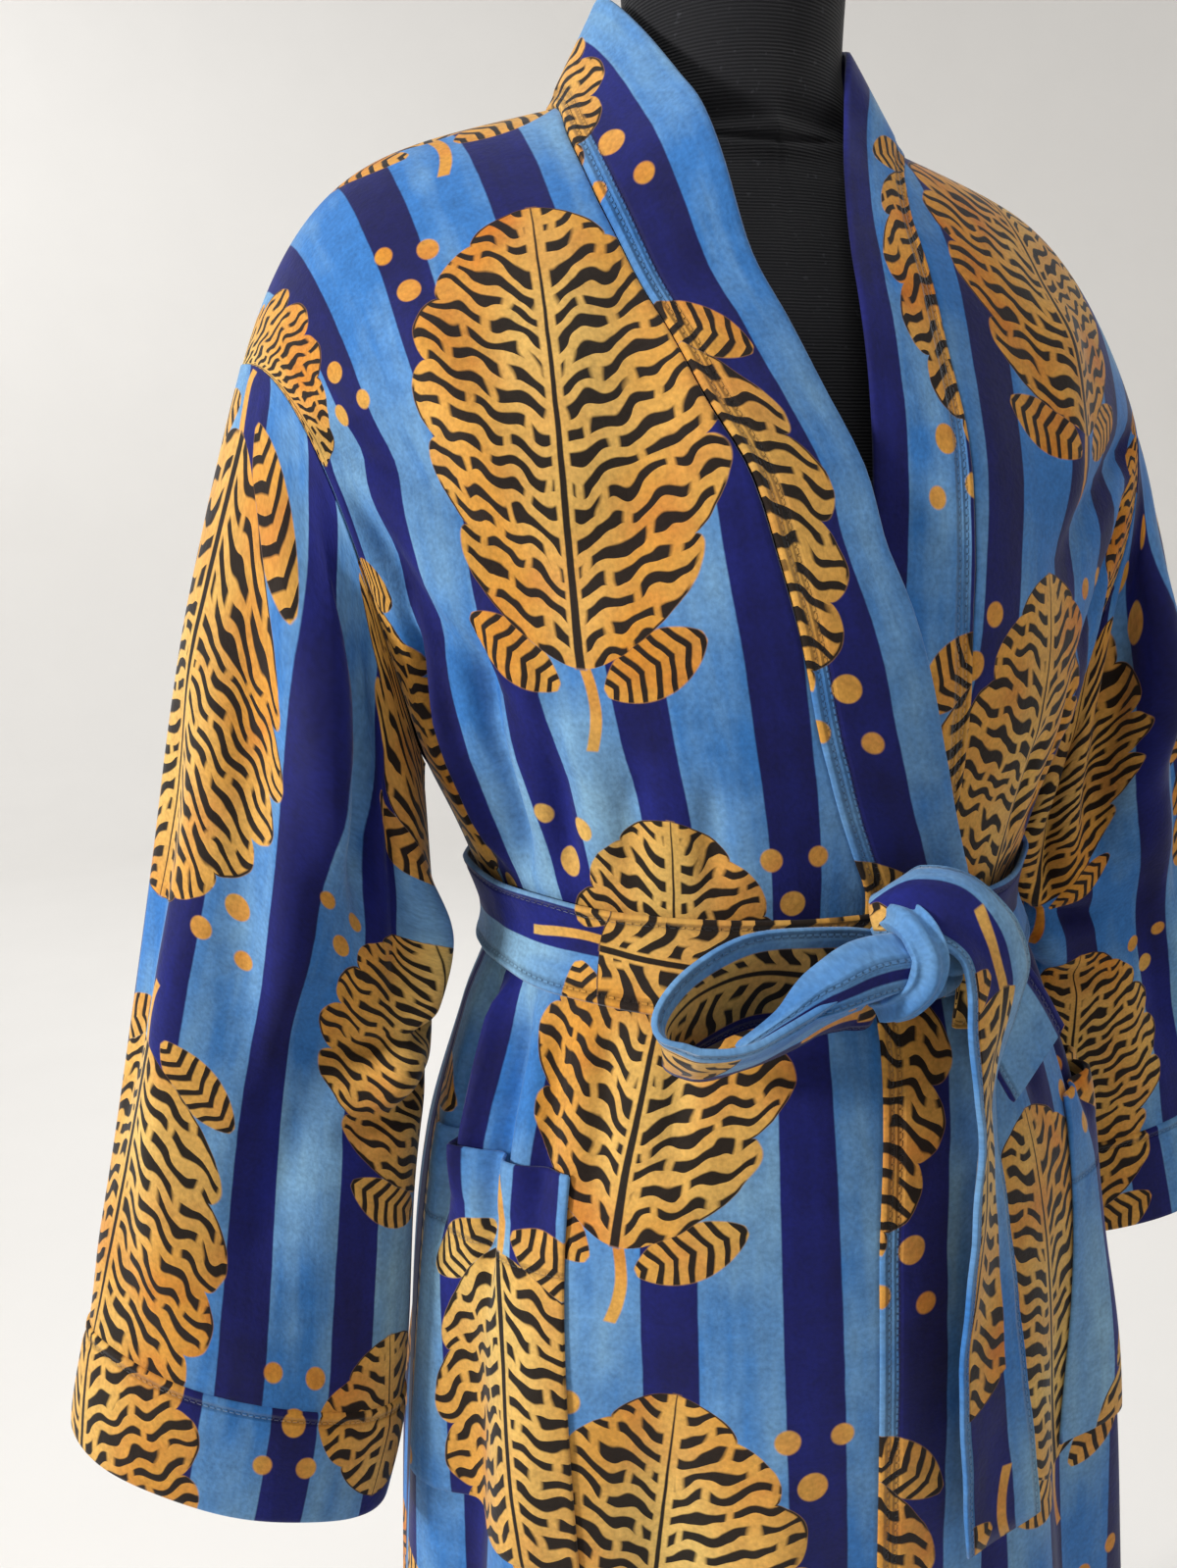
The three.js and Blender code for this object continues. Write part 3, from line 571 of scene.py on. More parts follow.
@dataclass(frozen=True)
class StripedVelvet:
    """Cut-pile velvet with woven-look stripes in two blues and a print of large gold leaves.

    The stripes run along the second cloth coordinate. The leaves stand in columns three stripes
    apart, and every other column is moved half a repeat and turned round.
    """

    name: str
    shift: float = 0.0
    rise: float = 0.0
    grain: Grain = Grain.UP
    period: float = 0.066
    navy_share: float = 0.42
    column: float = 0.198
    repeat: float = 0.285
    leaf: float = 0.215
    half: float = 0.076
    tilt: float = 8 * DEG
    vein: float = 0.0112
    blue: tuple = linear(50, 110, 176)
    pale_blue: tuple = linear(122, 162, 192)
    navy: tuple = linear(28, 36, 120)
    deep_navy: tuple = linear(14, 16, 74)
    gold: tuple = linear(198, 134, 44)
    pale_gold: tuple = linear(208, 174, 100)
    orange: tuple = linear(186, 98, 18)
    ink: tuple = linear(13, 11, 14)
    stitches_across: tuple = ()
    stitches_along: tuple = ()
    leaf_shift: float = 0.099
    printed: tuple[float, float] | None = None

    def _leaf(self, x: Sock, y: Sock, wander: Sock, drift: Sock) -> tuple[Sock, Sock, Sock]:
        """Masks of one leaf whose middle is at 0, 0 and whose pointed tip is along +y.

        The half width is a power of the share of its length times a power of the rest, notched by
        scallops along the margin. The veins are broken strokes that rise from the midrib: stripes of y
        less a share of the distance from the midrib, with a sine wobble, thinner towards the margin.

        Args:
            x: Distance across from the midrib.
            y: Distance along from the leaf's middle.
            wander: Noise that roughens the lines.
            drift: Slower noise that bends and swells them.

        Returns:
            Masks of the leaf, of its ink lines, and of its pale middle.
        """
        share = (y / self.leaf + 0.5).max(0.001).min(0.999)
        swell = share ** 0.6 * (1 - share) ** 0.62 * 2.33
        scallop = ((y - x.abs() * 0.5) * (math.pi / 0.0375)).sin().abs().max(0.0001) ** 0.6 * 0.15 + 0.86
        margin = swell * scallop * self.half + (wander - 0.5) * 0.004
        far = x.abs()
        leaf = far.below(margin, 0.0009) * y.abs().below(self.leaf * 0.5, 0.0015)
        wobble = (far * (2 * math.pi / 0.023) + (y * 55).sin() * 1.2).sin() * 0.0019
        place = (y - far * 0.5 + wobble + (wander - 0.5) * 0.010 + (drift - 0.5) * 0.016) / self.vein
        thin = (far / margin.max(0.004)).min(1.0)
        gaps = ((far / 0.030 + place.floor() * 0.37 + drift * 0.8).frac() - 0.5).abs().above(0.07, 0.06)
        width = 0.5 - thin * thin * 0.12 + (drift - 0.5) * 0.5
        veins = place.frac().below(width, 0.08) * gaps * far.above(0.0042, 0.0012)
        rib = far.below((1.15 - share) * 0.0021, 0.0006)
        outline = (margin - far).below(0.0015, 0.001) * (y * 140).sin().above(0.1, 0.5)
        return leaf, veins.max(outline).max(rib) * leaf, far.below(margin * 0.4, 0.02) * leaf

    def _sprigs(self, x: Sock, y: Sock, wander: Sock) -> tuple[Sock, Sock]:
        """The curved stem under a leaf, the two small leaves beside it and berries near the tip.

        The stem is a band about a sine line, a small leaf is a pointed ellipse turned outwards, and a
        berry is a disc.

        Args:
            x: Distance across from the midrib.
            y: Distance along from the leaf's middle.
            wander: Noise that roughens the lines.

        Returns:
            Masks of the gold and of its ink ticks.
        """
        foot = -self.leaf / 2
        stem = (x - (y * 62).sin() * 0.006).abs().below(0.0031, 0.0008)
        stem = stem * (y - (foot - 0.016)).abs().below(0.021, 0.001)
        dx, dy = x.abs() - 0.037, y - (foot + 0.005)
        along, across = dx * 0.86 + dy * 0.51, dx * 0.51 - dy * 0.86
        small = across.abs().below((1 - (along / 0.030) ** 2).max(0.0) ** 0.8 * 0.0135, 0.0009)
        small = small * along.abs().below(0.0285, 0.001)
        berries = None
        for cx, cy, radius in ((0.066, -0.036, 0.0070), (0.052, -0.014, 0.0060), (0.077, -0.010, 0.0054)):
            bx, by = x.abs() - cx, y - (self.leaf / 2 + cy)
            disc = (bx * bx + by * by + 0.0000001).below(radius * radius, 0.000012)
            berries = disc if berries is None else berries.max(disc)
        ticks = (along + across.abs() * 0.5 + (wander - 0.5) * 0.006) / 0.0085
        ticks = ticks.frac().below(0.4, 0.1) * small
        return stem.max(small).max(berries), ticks

    def material(self) -> bpy.types.Material:
        """The velvet's material, on the piece's flat cloth coordinates."""
        kit = Kit(self.name)
        flat = kit.cloth_place()
        parts = kit.node("SeparateXYZ", None, Vector=flat)
        s, t = Sock(kit, parts.outputs[0]), Sock(kit, parts.outputs[1])
        place = kit.object_place()
        fine = kit.noise(flat, 95.0, 3.0)
        wander = kit.noise(flat, 60.0, 1.0)
        nap = kit.noise(place, 7.5, 2.5)
        patch = kit.noise(place, 31.0, 4.0)
        stretched = kit.node("VectorMath", {"operation": "MULTIPLY"}, i0=flat, i1=(70.0, 9.0, 1.0)).outputs[0]
        streak = kit.noise(stretched, 1.0, 3.0)
        u = s + self.shift + (wander - 0.5) * 0.0008
        stripe = (u / self.period).frac()
        dark = stripe.below(self.navy_share, 0.012) * stripe.above(0.006, 0.012)
        across = s + self.leaf_shift + (wander - 0.5) * 0.0008
        cell = (across / self.column).floor()
        x = (across / self.column).frac() * self.column - self.column / 2
        odd = (cell / 2).frac() * 2
        turn = (1 - odd * 2) * self.grain.value
        y = (((t + self.rise + odd * (self.repeat * 0.47)) / self.repeat).frac() - 0.5) * self.repeat * turn
        c, d = math.cos(self.tilt), math.sin(self.tilt)
        x, y = x * c + y * d, y * c - x * d
        y = y - 0.014
        leaf, ink, middle = self._leaf(x, y, wander, kit.noise(flat, 24.0, 2.0))
        curl, ticks = self._sprigs(x, y, wander)
        if self.printed is not None:
            inside = s.above(self.printed[0], 0.0008) * s.below(self.printed[1], 0.0008)
            leaf, ink, middle, curl, ticks = (m * inside for m in (leaf, ink, middle, curl, ticks))
        curl = curl * (1 - leaf)
        brushed = (nap - 0.5) * 2.9 + (patch - 0.5) * 0.8 + (streak - 0.5) * 1.2 + 0.36
        brushed = brushed.max(0.0).min(1.0)
        light = kit.blend(brushed, self.blue, self.pale_blue)
        deep = kit.blend(brushed * 0.8, self.deep_navy, self.navy)
        ground = kit.blend(dark, light, deep)
        warm = kit.blend(((patch - 0.5) * 3.4 + 0.22).max(0.0).min(1.0), self.gold, self.orange)
        body = kit.blend((middle * 0.3 + (nap - 0.5) * 2.2 + 0.30).max(0.0).min(1.0), warm, self.pale_gold)
        colour = kit.blend(leaf.max(curl), ground, body)
        colour = kit.blend(ink.max(ticks * (1 - leaf)) * 0.98, colour, self.ink)
        pile = (fine - 0.5) * 0.5 + (kit.noise(flat, 420.0, 2.0) - 0.5) * 0.7 + 0.98
        shaded = kit.node("HueSaturation", None, Color=colour, Value=pile).outputs[0]
        groove = None
        lines = [(v, s, t) for v in self.stitches_across] + [(v, t, s) for v in self.stitches_along]
        # Each stitch line is a groove in the bump and also a mask of painted shade in the colour.
        for value, coordinate, other in lines:
            far = (coordinate - value).abs()
            line = (1 - far / 0.0024).max(0.0)
            thread = far.below(0.0006, 0.0005) * (other / 0.0036).frac().below(0.72, 0.1)
            line = line * (1 - thread * 0.75)
            groove = line if groove is None else groove.max(line)
        if groove is not None:
            # Painted shade: the colour darkens towards ink along each stitched groove, most at its middle,
            # and less on the thread.
            shaded = kit.blend(groove * 0.42, shaded, self.ink)
        height = fine * 0.5 + kit.noise(flat, 420.0, 2.0) * 0.5
        normal = kit.bump(height, 0.0007, 0.55)
        normal = kit.bump(kit.noise(place, 36.0, 3.0), 0.0022, 0.5, normal)
        if groove is not None:
            normal = kit.bump(1 - groove, 0.0016, 0.9, normal)
        rough = 0.72 + brushed * 0.16
        return kit.finish(Base_Color=shaded, Roughness=rough, Normal=normal, Sheen_Weight=0.16,
                          Sheen_Roughness=0.42, Sheen_Tint=(0.85, 0.9, 1.0, 1.0), Specular_IOR_Level=0.18)


@dataclass(frozen=True)
class FormCloth:
    """Close black ribbed cover cloth of the dress form; ribs run round it."""

    name: str = "form_cover"
    rib: float = 0.0017

    def material(self) -> bpy.types.Material:
        """The material, with ribs as fine waves of height, and painted shade that darkens the rib troughs in
        its colour.
        """
        kit = Kit(self.name)
        place = kit.object_place()
        z = Sock(kit, kit.node("SeparateXYZ", None, Vector=place).outputs[2])
        wobble = kit.noise(place, 30.0, 2.0)
        ribs = ((z + (wobble - 0.5) * 0.0008) * (2 * math.pi / self.rib)).sin() * 0.5 + 0.5
        lint = kit.noise(place, 240.0, 3.0).above(0.68, 0.06)
        # Random mottling plus painted shade: the colour is darker in the rib troughs and lighter on the
        # crests.
        tone = kit.noise(place, 14.0, 3.0) * 0.5 + ribs * 0.3
        colour = kit.blend(tone, linear(13, 13, 16), linear(30, 31, 36))
        colour = kit.blend(lint * 0.35, colour, linear(70, 72, 78))
        normal = kit.bump(ribs * 0.8 + kit.noise(place, 900.0, 1.0) * 0.2, 0.0004, 0.7)
        return kit.finish(Base_Color=colour, Roughness=0.72 + wobble * 0.15, Normal=normal,
                          Sheen_Weight=0.12, Sheen_Roughness=0.5, Specular_IOR_Level=0.2)


@dataclass(frozen=True)
class SatinPaint:
    """Satin black paint on steel, with fine orange peel and faint rubbing."""

    name: str = "stand_paint"

    def material(self) -> bpy.types.Material:
        """The material."""
        kit = Kit(self.name)
        place = kit.object_place()
        rub = kit.noise(place, 22.0, 4.0)
        colour = kit.blend(rub.above(0.62, 0.2) * 0.5, linear(20, 20, 23), linear(44, 44, 48))
        normal = kit.bump(kit.noise(place, 700.0, 1.0), 0.0001, 0.3)
        return kit.finish(Base_Color=colour, Roughness=0.3 + rub * 0.22, Normal=normal, Metallic=0.0)


@dataclass(frozen=True)
class Plaster:
    """Pale matt plaster of the floor and wall."""

    name: str
    tint: tuple = linear(228, 226, 223)
    glow: float = 0.12

    def material(self) -> bpy.types.Material:
        """The material, very slightly uneven."""
        kit = Kit(self.name)
        place = kit.object_place()
        tone = kit.noise(place, 3.0, 4.0)
        darker = tuple(v * 0.96 for v in self.tint)
        normal = kit.bump(kit.noise(place, 60.0, 5.0), 0.001, 0.2)
        colour = kit.blend(tone, darker, self.tint)
        return kit.finish(Base_Color=colour, Roughness=0.85 + tone * 0.05, Normal=normal,
                          Emission_Color=colour, Emission_Strength=self.glow)


# Creases, as (start, end, half width, height[, bow]) in millimetres. On the body a place is the cloth from
# the centre line, positive towards the wearer's left, and the height. On a sleeve it is the cloth round
# from its outer edge towards the front, and the distance down it.

CREASES_FRONT = tuple(Crease(*c) for c in (
    ((-236, 1046), (-214, 1180), 7, -4.2), ((-212, 1044), (-206, 1150), 6, 3.0),
    ((-190, 1042), (-168, 1168), 8, -3.8), ((-160, 1040), (-134, 1132), 8, -2.6),
    ((-122, 1038), (-101, 1108), 9, -2.0), ((-77, 1036), (-70, 1092), 8, -1.5),
    ((-240, 986), (-232, 850), 7, -4.6), ((-219, 985), (-214, 872), 6, 3.0),
    ((-196, 984), (-190, 822), 8, -4.2), ((-165, 982), (-156, 862), 9, -2.6),
    ((-131, 980), (-129, 884), 9, -2.0), ((-90, 978), (-93, 902), 8, -1.5),
    ((-246, 1292), (-118, 1176), 15, -3.2, 10), ((-232, 1246), (-150, 1118), 12, -3.0, -6),
    ((-62, 1335), (-92, 1178), 19, -2.2), ((-152, 1330), (-139, 1212), 17, 2.4),
    ((-196, 1200), (-120, 1086), 14, 2.0), ((-205, 842), (-216, 320), 20, -5.0, 6),
    ((-150, 862), (-161, 330), 22, 3.4, -5), ((-96, 806), (-101, 330), 19, -4.0, 4),
    ((-46, 765), (-49, 322), 15, 2.4), ((-178, 600), (-184, 300), 12, 2.4),
    ((236, 1048), (221, 1172), 7, -4.0), ((205, 1046), (188, 1152), 8, -3.2),
    ((171, 1044), (149, 1124), 8, -2.6), ((131, 1040), (118, 1100), 8, -1.7),
    ((239, 986), (230, 858), 7, -4.2), ((206, 985), (203, 828), 8, -3.6),
    ((170, 983), (167, 872), 8, -2.2), ((112, 981), (113, 905), 9, -1.6),
    ((236, 1284), (112, 1188), 14, -3.0, -8), ((221, 1238), (148, 1130), 12, -2.8, 5),
    ((121, 1332), (109, 1206), 17, 2.0), ((211, 842), (219, 320), 20, -5.0, -5),
    ((161, 852), (169, 330), 21, 3.8, 4), ((117, 802), (121, 330), 18, -3.4),
    ((188, 560), (196, 296), 13, 2.6),
))
CREASES_BACK = tuple(Crease(*c) for c in (
    ((-236, 1050), (-222, 1186), 7, -4.0), ((-200, 1051), (-186, 1204), 8, -3.8),
    ((-158, 1052), (-156, 1168), 8, -3.0), ((-112, 1050), (-104, 1142), 9, -2.6),
    ((-58, 1050), (-64, 1156), 8, -2.8), ((-14, 1052), (-8, 1130), 9, -2.0),
    ((36, 1050), (46, 1172), 8, -3.2), ((88, 1052), (84, 1140), 9, -2.4),
    ((134, 1050), (146, 1186), 8, -3.6), ((184, 1051), (188, 1160), 8, -3.2),
    ((228, 1050), (216, 1196), 7, -4.2), ((-178, 1050), (-172, 1150), 7, 2.4),
    ((158, 1052), (166, 1148), 7, 2.2), ((-238, 984), (-230, 842), 7, -4.4),
    ((-204, 985), (-200, 800), 8, -4.2), ((-160, 984), (-164, 846), 9, -3.2),
    ((-118, 985), (-112, 780), 9, -3.6), ((-70, 984), (-74, 870), 8, -2.4),
    ((-22, 985), (-20, 796), 9, -3.2), ((28, 984), (34, 862), 8, -2.6),
    ((76, 985), (72, 788), 9, -3.6), ((124, 984), (130, 848), 9, -2.8),
    ((170, 985), (166, 802), 8, -4.0), ((222, 984), (216, 838), 7, -4.4),
    ((-218, 1330), (-100, 1236), 18, -3.0, -8), ((210, 1336), (92, 1228), 18, -3.2, 10),
    ((-150, 1300), (-60, 1150), 20, 2.6), ((166, 1290), (70, 1160), 20, 2.2),
    ((4, 1330), (-6, 1190), 22, -2.0), ((-196, 780), (-206, 310), 20, -5.4, 5),
    ((-140, 800), (-150, 330), 22, 4.2), ((-84, 760), (-90, 310), 20, -5.6, -6),
    ((-30, 740), (-34, 330), 20, 3.6), ((24, 770), (30, 310), 19, -4.8, 5),
    ((82, 740), (90, 330), 21, 4.4), ((138, 760), (148, 310), 20, -5.6, 6),
    ((192, 800), (204, 320), 20, 3.8),
))
CREASES_SLEEVE_RIGHT = tuple(Crease(*c) for c in (
    ((116, 16), (128, 196), 9, -5.0), ((90, 12), (103, 176), 9, 4.0),
    ((140, 56), (152, 268), 10, -4.2), ((62, 92), (82, 336), 14, -2.6),
    ((170, 118), (149, 330), 10, 3.0), ((112, 250), (94, 440), 15, -2.8),
    ((40, 246), (56, 470), 16, 2.0), ((20, 150), (9, 424), 16, -2.2),
    ((184, 238), (120, 300), 9, -3.2), ((188, 292), (130, 350), 9, -2.6),
    ((260, 58), (250, 262), 12, -4.0), ((300, 40), (291, 252), 12, 3.0),
    ((331, 120), (320, 356), 14, -3.0), ((281, 300), (286, 474), 14, -2.2),
    ((214, 150), (238, 300), 9, -3.4),
))
CREASES_SLEEVE_LEFT = tuple(Crease(*c) for c in (
    ((108, 20), (122, 214), 10, -4.6), ((84, 16), (92, 190), 9, 3.6),
    ((146, 70), (158, 250), 10, -4.0), ((52, 110), (70, 352), 14, -2.4),
    ((176, 130), (156, 320), 10, 2.8), ((104, 262), (90, 452), 15, -3.0),
    ((30, 226), (44, 460), 16, 2.2), ((386, 140), (380, 420), 16, -2.0),
    ((190, 226), (126, 292), 9, -3.0), ((186, 300), (134, 352), 9, -2.4),
    ((252, 66), (244, 250), 12, -3.8), ((296, 50), (286, 240), 12, 3.0),
    ((326, 130), (318, 340), 14, -3.0), ((272, 310), (280, 470), 14, -2.4),
))


# Sizes, in millimetres, the same as the part's source

SECTIONS = (  # z, half, front, back
    (290, 236, 168, 188), (450, 226, 163, 182), (620, 214, 157, 174), (760, 203, 152, 166),
    (880, 188, 145, 153), (960, 165, 129, 132), (1005, 148, 116, 114), (1050, 161, 125, 120),
    (1090, 178, 134, 126),
)

YOKE = (  # share, front, back
    (0, 134, 126), (0.2, 146, 132), (0.4, 146, 136), (0.6, 138, 132), (0.8, 130, 120), (1, 125, 110),
)

SEAM_RIGHT = (  # h, x
    (290, -14), (702, -6), (852, -2), (962, 8), (1028, 6), (1050, -3), (1074, -13), (1124, -30),
    (1172, -42), (1218, -54), (1252, -69), (1291, -81), (1323, -92), (1359, -101), (1390, -104),
    (1417, -98),
)

SEAM_LEFT = (  # h, x
    (290, 48), (700, 53), (1005, 58), (1086, 55), (1140, 55), (1187, 60), (1245, 61), (1297, 58),
    (1340, 58), (1374, 66), (1400, 83), (1417, 98),
)

STAND_RIGHT = (  # h, x, y, z
    (1417, -71, 10, 1470), (1403, -60, -22, 1444), (1388, -53, -50, 1416), (1362, -50, -70, 1396),
    (1340, -46, -85, 1369), (1310, -38, -98, 1327), (1280, -25, -108, 1296), (1236, -12, -119, 1260),
    (1210, 1, -131, 1223), (1186, 5, -137, 1199), (1150, 16, -140, 1167),
)

STAND_LEFT = (  # h, x, y, z
    (1417, 64, 10, 1457), (1408, 55, -12, 1447), (1396, 45, -32, 1431), (1382, 38, -44, 1407),
    (1356, 26, -66, 1372), (1325, 17, -92, 1331), (1290, 13, -107, 1304), (1262, 11, -118, 1268),
    (1235, 11, -121, 1239), (1196, 10, -123, 1199), (1150, 3, -129, 1150),
)

STAND_BACK = (  # share, x, y, z
    (0, 0, 70, 1472), (0.4, 36, 62, 1473), (0.75, 60, 40, 1473),
)

SLEEVE_RIGHT = (  # share, outX, outZ, inX, inZ, depth, y
    (0, 257, 1295, 182, 1090, 60, 19), (0.14, 285, 1204, 183, 1042, 60, 12),
    (0.31, 306, 1120, 183, 990, 54, 4), (0.48, 325, 1030, 191, 942, 50, 0),
    (0.67, 345, 938, 203, 872, 48, -3), (0.89, 368, 816, 215, 747, 47, -4), (1, 380, 762, 228, 690, 48, -4),
)

SLEEVE_LEFT = (  # share, outX, outZ, inX, inZ, depth, y
    (0, 243, 1295, 182, 1090, 60, 19), (0.14, 273, 1207, 183, 1049, 60, 24),
    (0.31, 299, 1124, 183, 1001, 54, 31), (0.48, 325, 1037, 191, 954, 50, 37),
    (0.67, 344, 949, 203, 890, 48, 42), (0.89, 368, 840, 216, 800, 47, 46), (1, 383, 777, 228, 739, 48, 47),
)

SLEEVE_FOLDS = (  # top, low, wide, high, from, to
    (45, 83, 15, 8, 0.0, 0.62), (80, 112, 17, -9, 0.02, 0.72), (140, 150, 16, 5, 0.12, 0.9),
    (20, 34, 22, -4, 0.35, 1), (250, 232, 20, -7, 0.05, 0.7), (292, 272, 18, 6, 0.06, 0.8),
    (330, 318, 20, -4, 0.3, 1),
)

BOW = (  # x, y, z, wx, wy, wz
    (-2.5, -143, 994, 0, 0.1, -1), (-22, -145, 998, 0.05, 0.12, -0.99), (-65, -147, 1001, 0.1, 0.2, -0.97),
    (-95, -152, 991, 0.22, 0.35, -0.91), (-108, -158, 980, 0.36, 0.55, -0.75),
    (-98, -164, 973, 0.4, 0.7, -0.6), (-73, -168, 975, 0.41, 0.8, -0.48),
    (-36, -166, 988, 0.38, 0.76, -0.52), (-14, -160, 991, 0.2, 0.7, -0.69),
    (-1.6, -155, 992, 0, 0.5, -0.86),
)

LONG_TAIL = (  # x, y, z, wx, wy, wz; it starts behind the knot, and passes over its top like a hood
    (-5, -149, 1028, 0.3, 0.6, 0.5), (8, -162, 1037, 0.55, 0.6, 0.5), (24, -172, 1035, 0.75, 0.48, 0.36),
    (36, -179, 1020, 0.88, 0.38, 0.22), (42, -180, 1001, 0.9, 0.38, 0.12), (44, -176, 980, 0.86, 0.5, 0.05),
    (44, -171, 955, 0.75, 0.66, 0), (45, -168, 930, 0.66, 0.75, 0), (48, -167, 875, 0.78, 0.62, 0),
    (49, -169, 810, 0.92, 0.38, 0), (56, -172, 712, 0.97, 0.2, -0.12),
)

KNOT_WRAP = (  # x, y, z, wx, wy, wz; the turn of the belt that holds the bow, over its top to the front
    (4, -146, 1020, 0.9, -0.2, 0.4), (1, -166, 1030, 0.85, -0.1, 0.5), (2, -180, 1026, 0.92, -0.1, 0.35),
    (4, -186, 1015, 1, -0.1, 0), (2, -185, 1003, 0.93, -0.1, -0.35), (-4, -177, 992, 0.8, -0.2, -0.55),
    (-5, -160, 984, 0.8, -0.2, -0.6),
)

KNOT_ROLL = (  # x, y, z, wx, wy, wz; where the bow's lower strand bunches before it goes under the wrap
    (-84, -182, 984, -0.2, 0.1, 1), (-62, -181, 994, -0.25, 0.1, 1), (-44, -177, 1001, -0.22, 0.05, 1),
    (-21, -173, 1007, -0.05, 0, 1), (0, -171, 1008, 0.05, 0, 1), (10, -166, 1006, 0.1, 0.1, 1),
)

ROLL_WIDTH = ((0, 0.12), (0.2, 0.3), (0.42, 0.8), (0.6, 1), (1, 0.9))  # share of the way, of the width
HOOD_WIDTH = ((0, 0.5), (0.06, 0.75), (0.12, 1), (0.2, 1), (0.3, 0.86), (0.42, 0.94), (0.55, 1), (1, 1))

SHORT_TAIL = (  # x, y, z, wx, wy, wz
    (46.6, -141.3, 988, 0.35, 0.15, 0.92), (62, -139, 984, 0.45, 0.2, 0.87),
    (79, -137, 963, 0.7, 0.2, 0.68), (97, -137, 933, 0.83, 0.2, 0.52),
)

FORM = (  # z, half, front, back, y, power
    (790, 146, 108, 118, 0, 2.2), (800, 154, 114, 124, 0, 2.2), (870, 163, 120, 132, 0, 2.2),
    (940, 146, 108, 114, 0, 2.1), (1010, 125, 94, 96, 0, 2), (1080, 136, 104, 100, 0, 2),
    (1160, 150, 118, 108, 1, 2), (1220, 154, 110, 112, 5, 2.1), (1290, 160, 100, 94, 12, 2.1),
    (1334, 166, 88, 74, 20, 1.9), (1365, 168, 78, 60, 24, 1.6), (1380, 158, 73, 55, 24, 1.35),
    (1392, 134, 70, 52, 22, 1.2), (1399, 110, 67, 50, 19, 1.2), (1404, 84, 63, 50, 17, 1.4),
    (1416, 66, 59, 50, 13, 1.8), (1440, 57, 56, 51, 10, 2), (1490, 59, 58, 54, 7, 2),
    (1530, 61, 60, 57, 6, 2),
)

MM = 0.001
WRAP = 270.0  # Cloth from the centre line round to the side seam, as it is cut at the waist
NECK_SINE = 98 / 257
NECK_ANGLE = math.asin(NECK_SINE)


def arc_length(path: Array) -> Array:
    """Distance run along a path of points, from its first."""
    return np.concatenate([[0], np.cumsum(np.linalg.norm(np.diff(path, axis=0), axis=-1))])


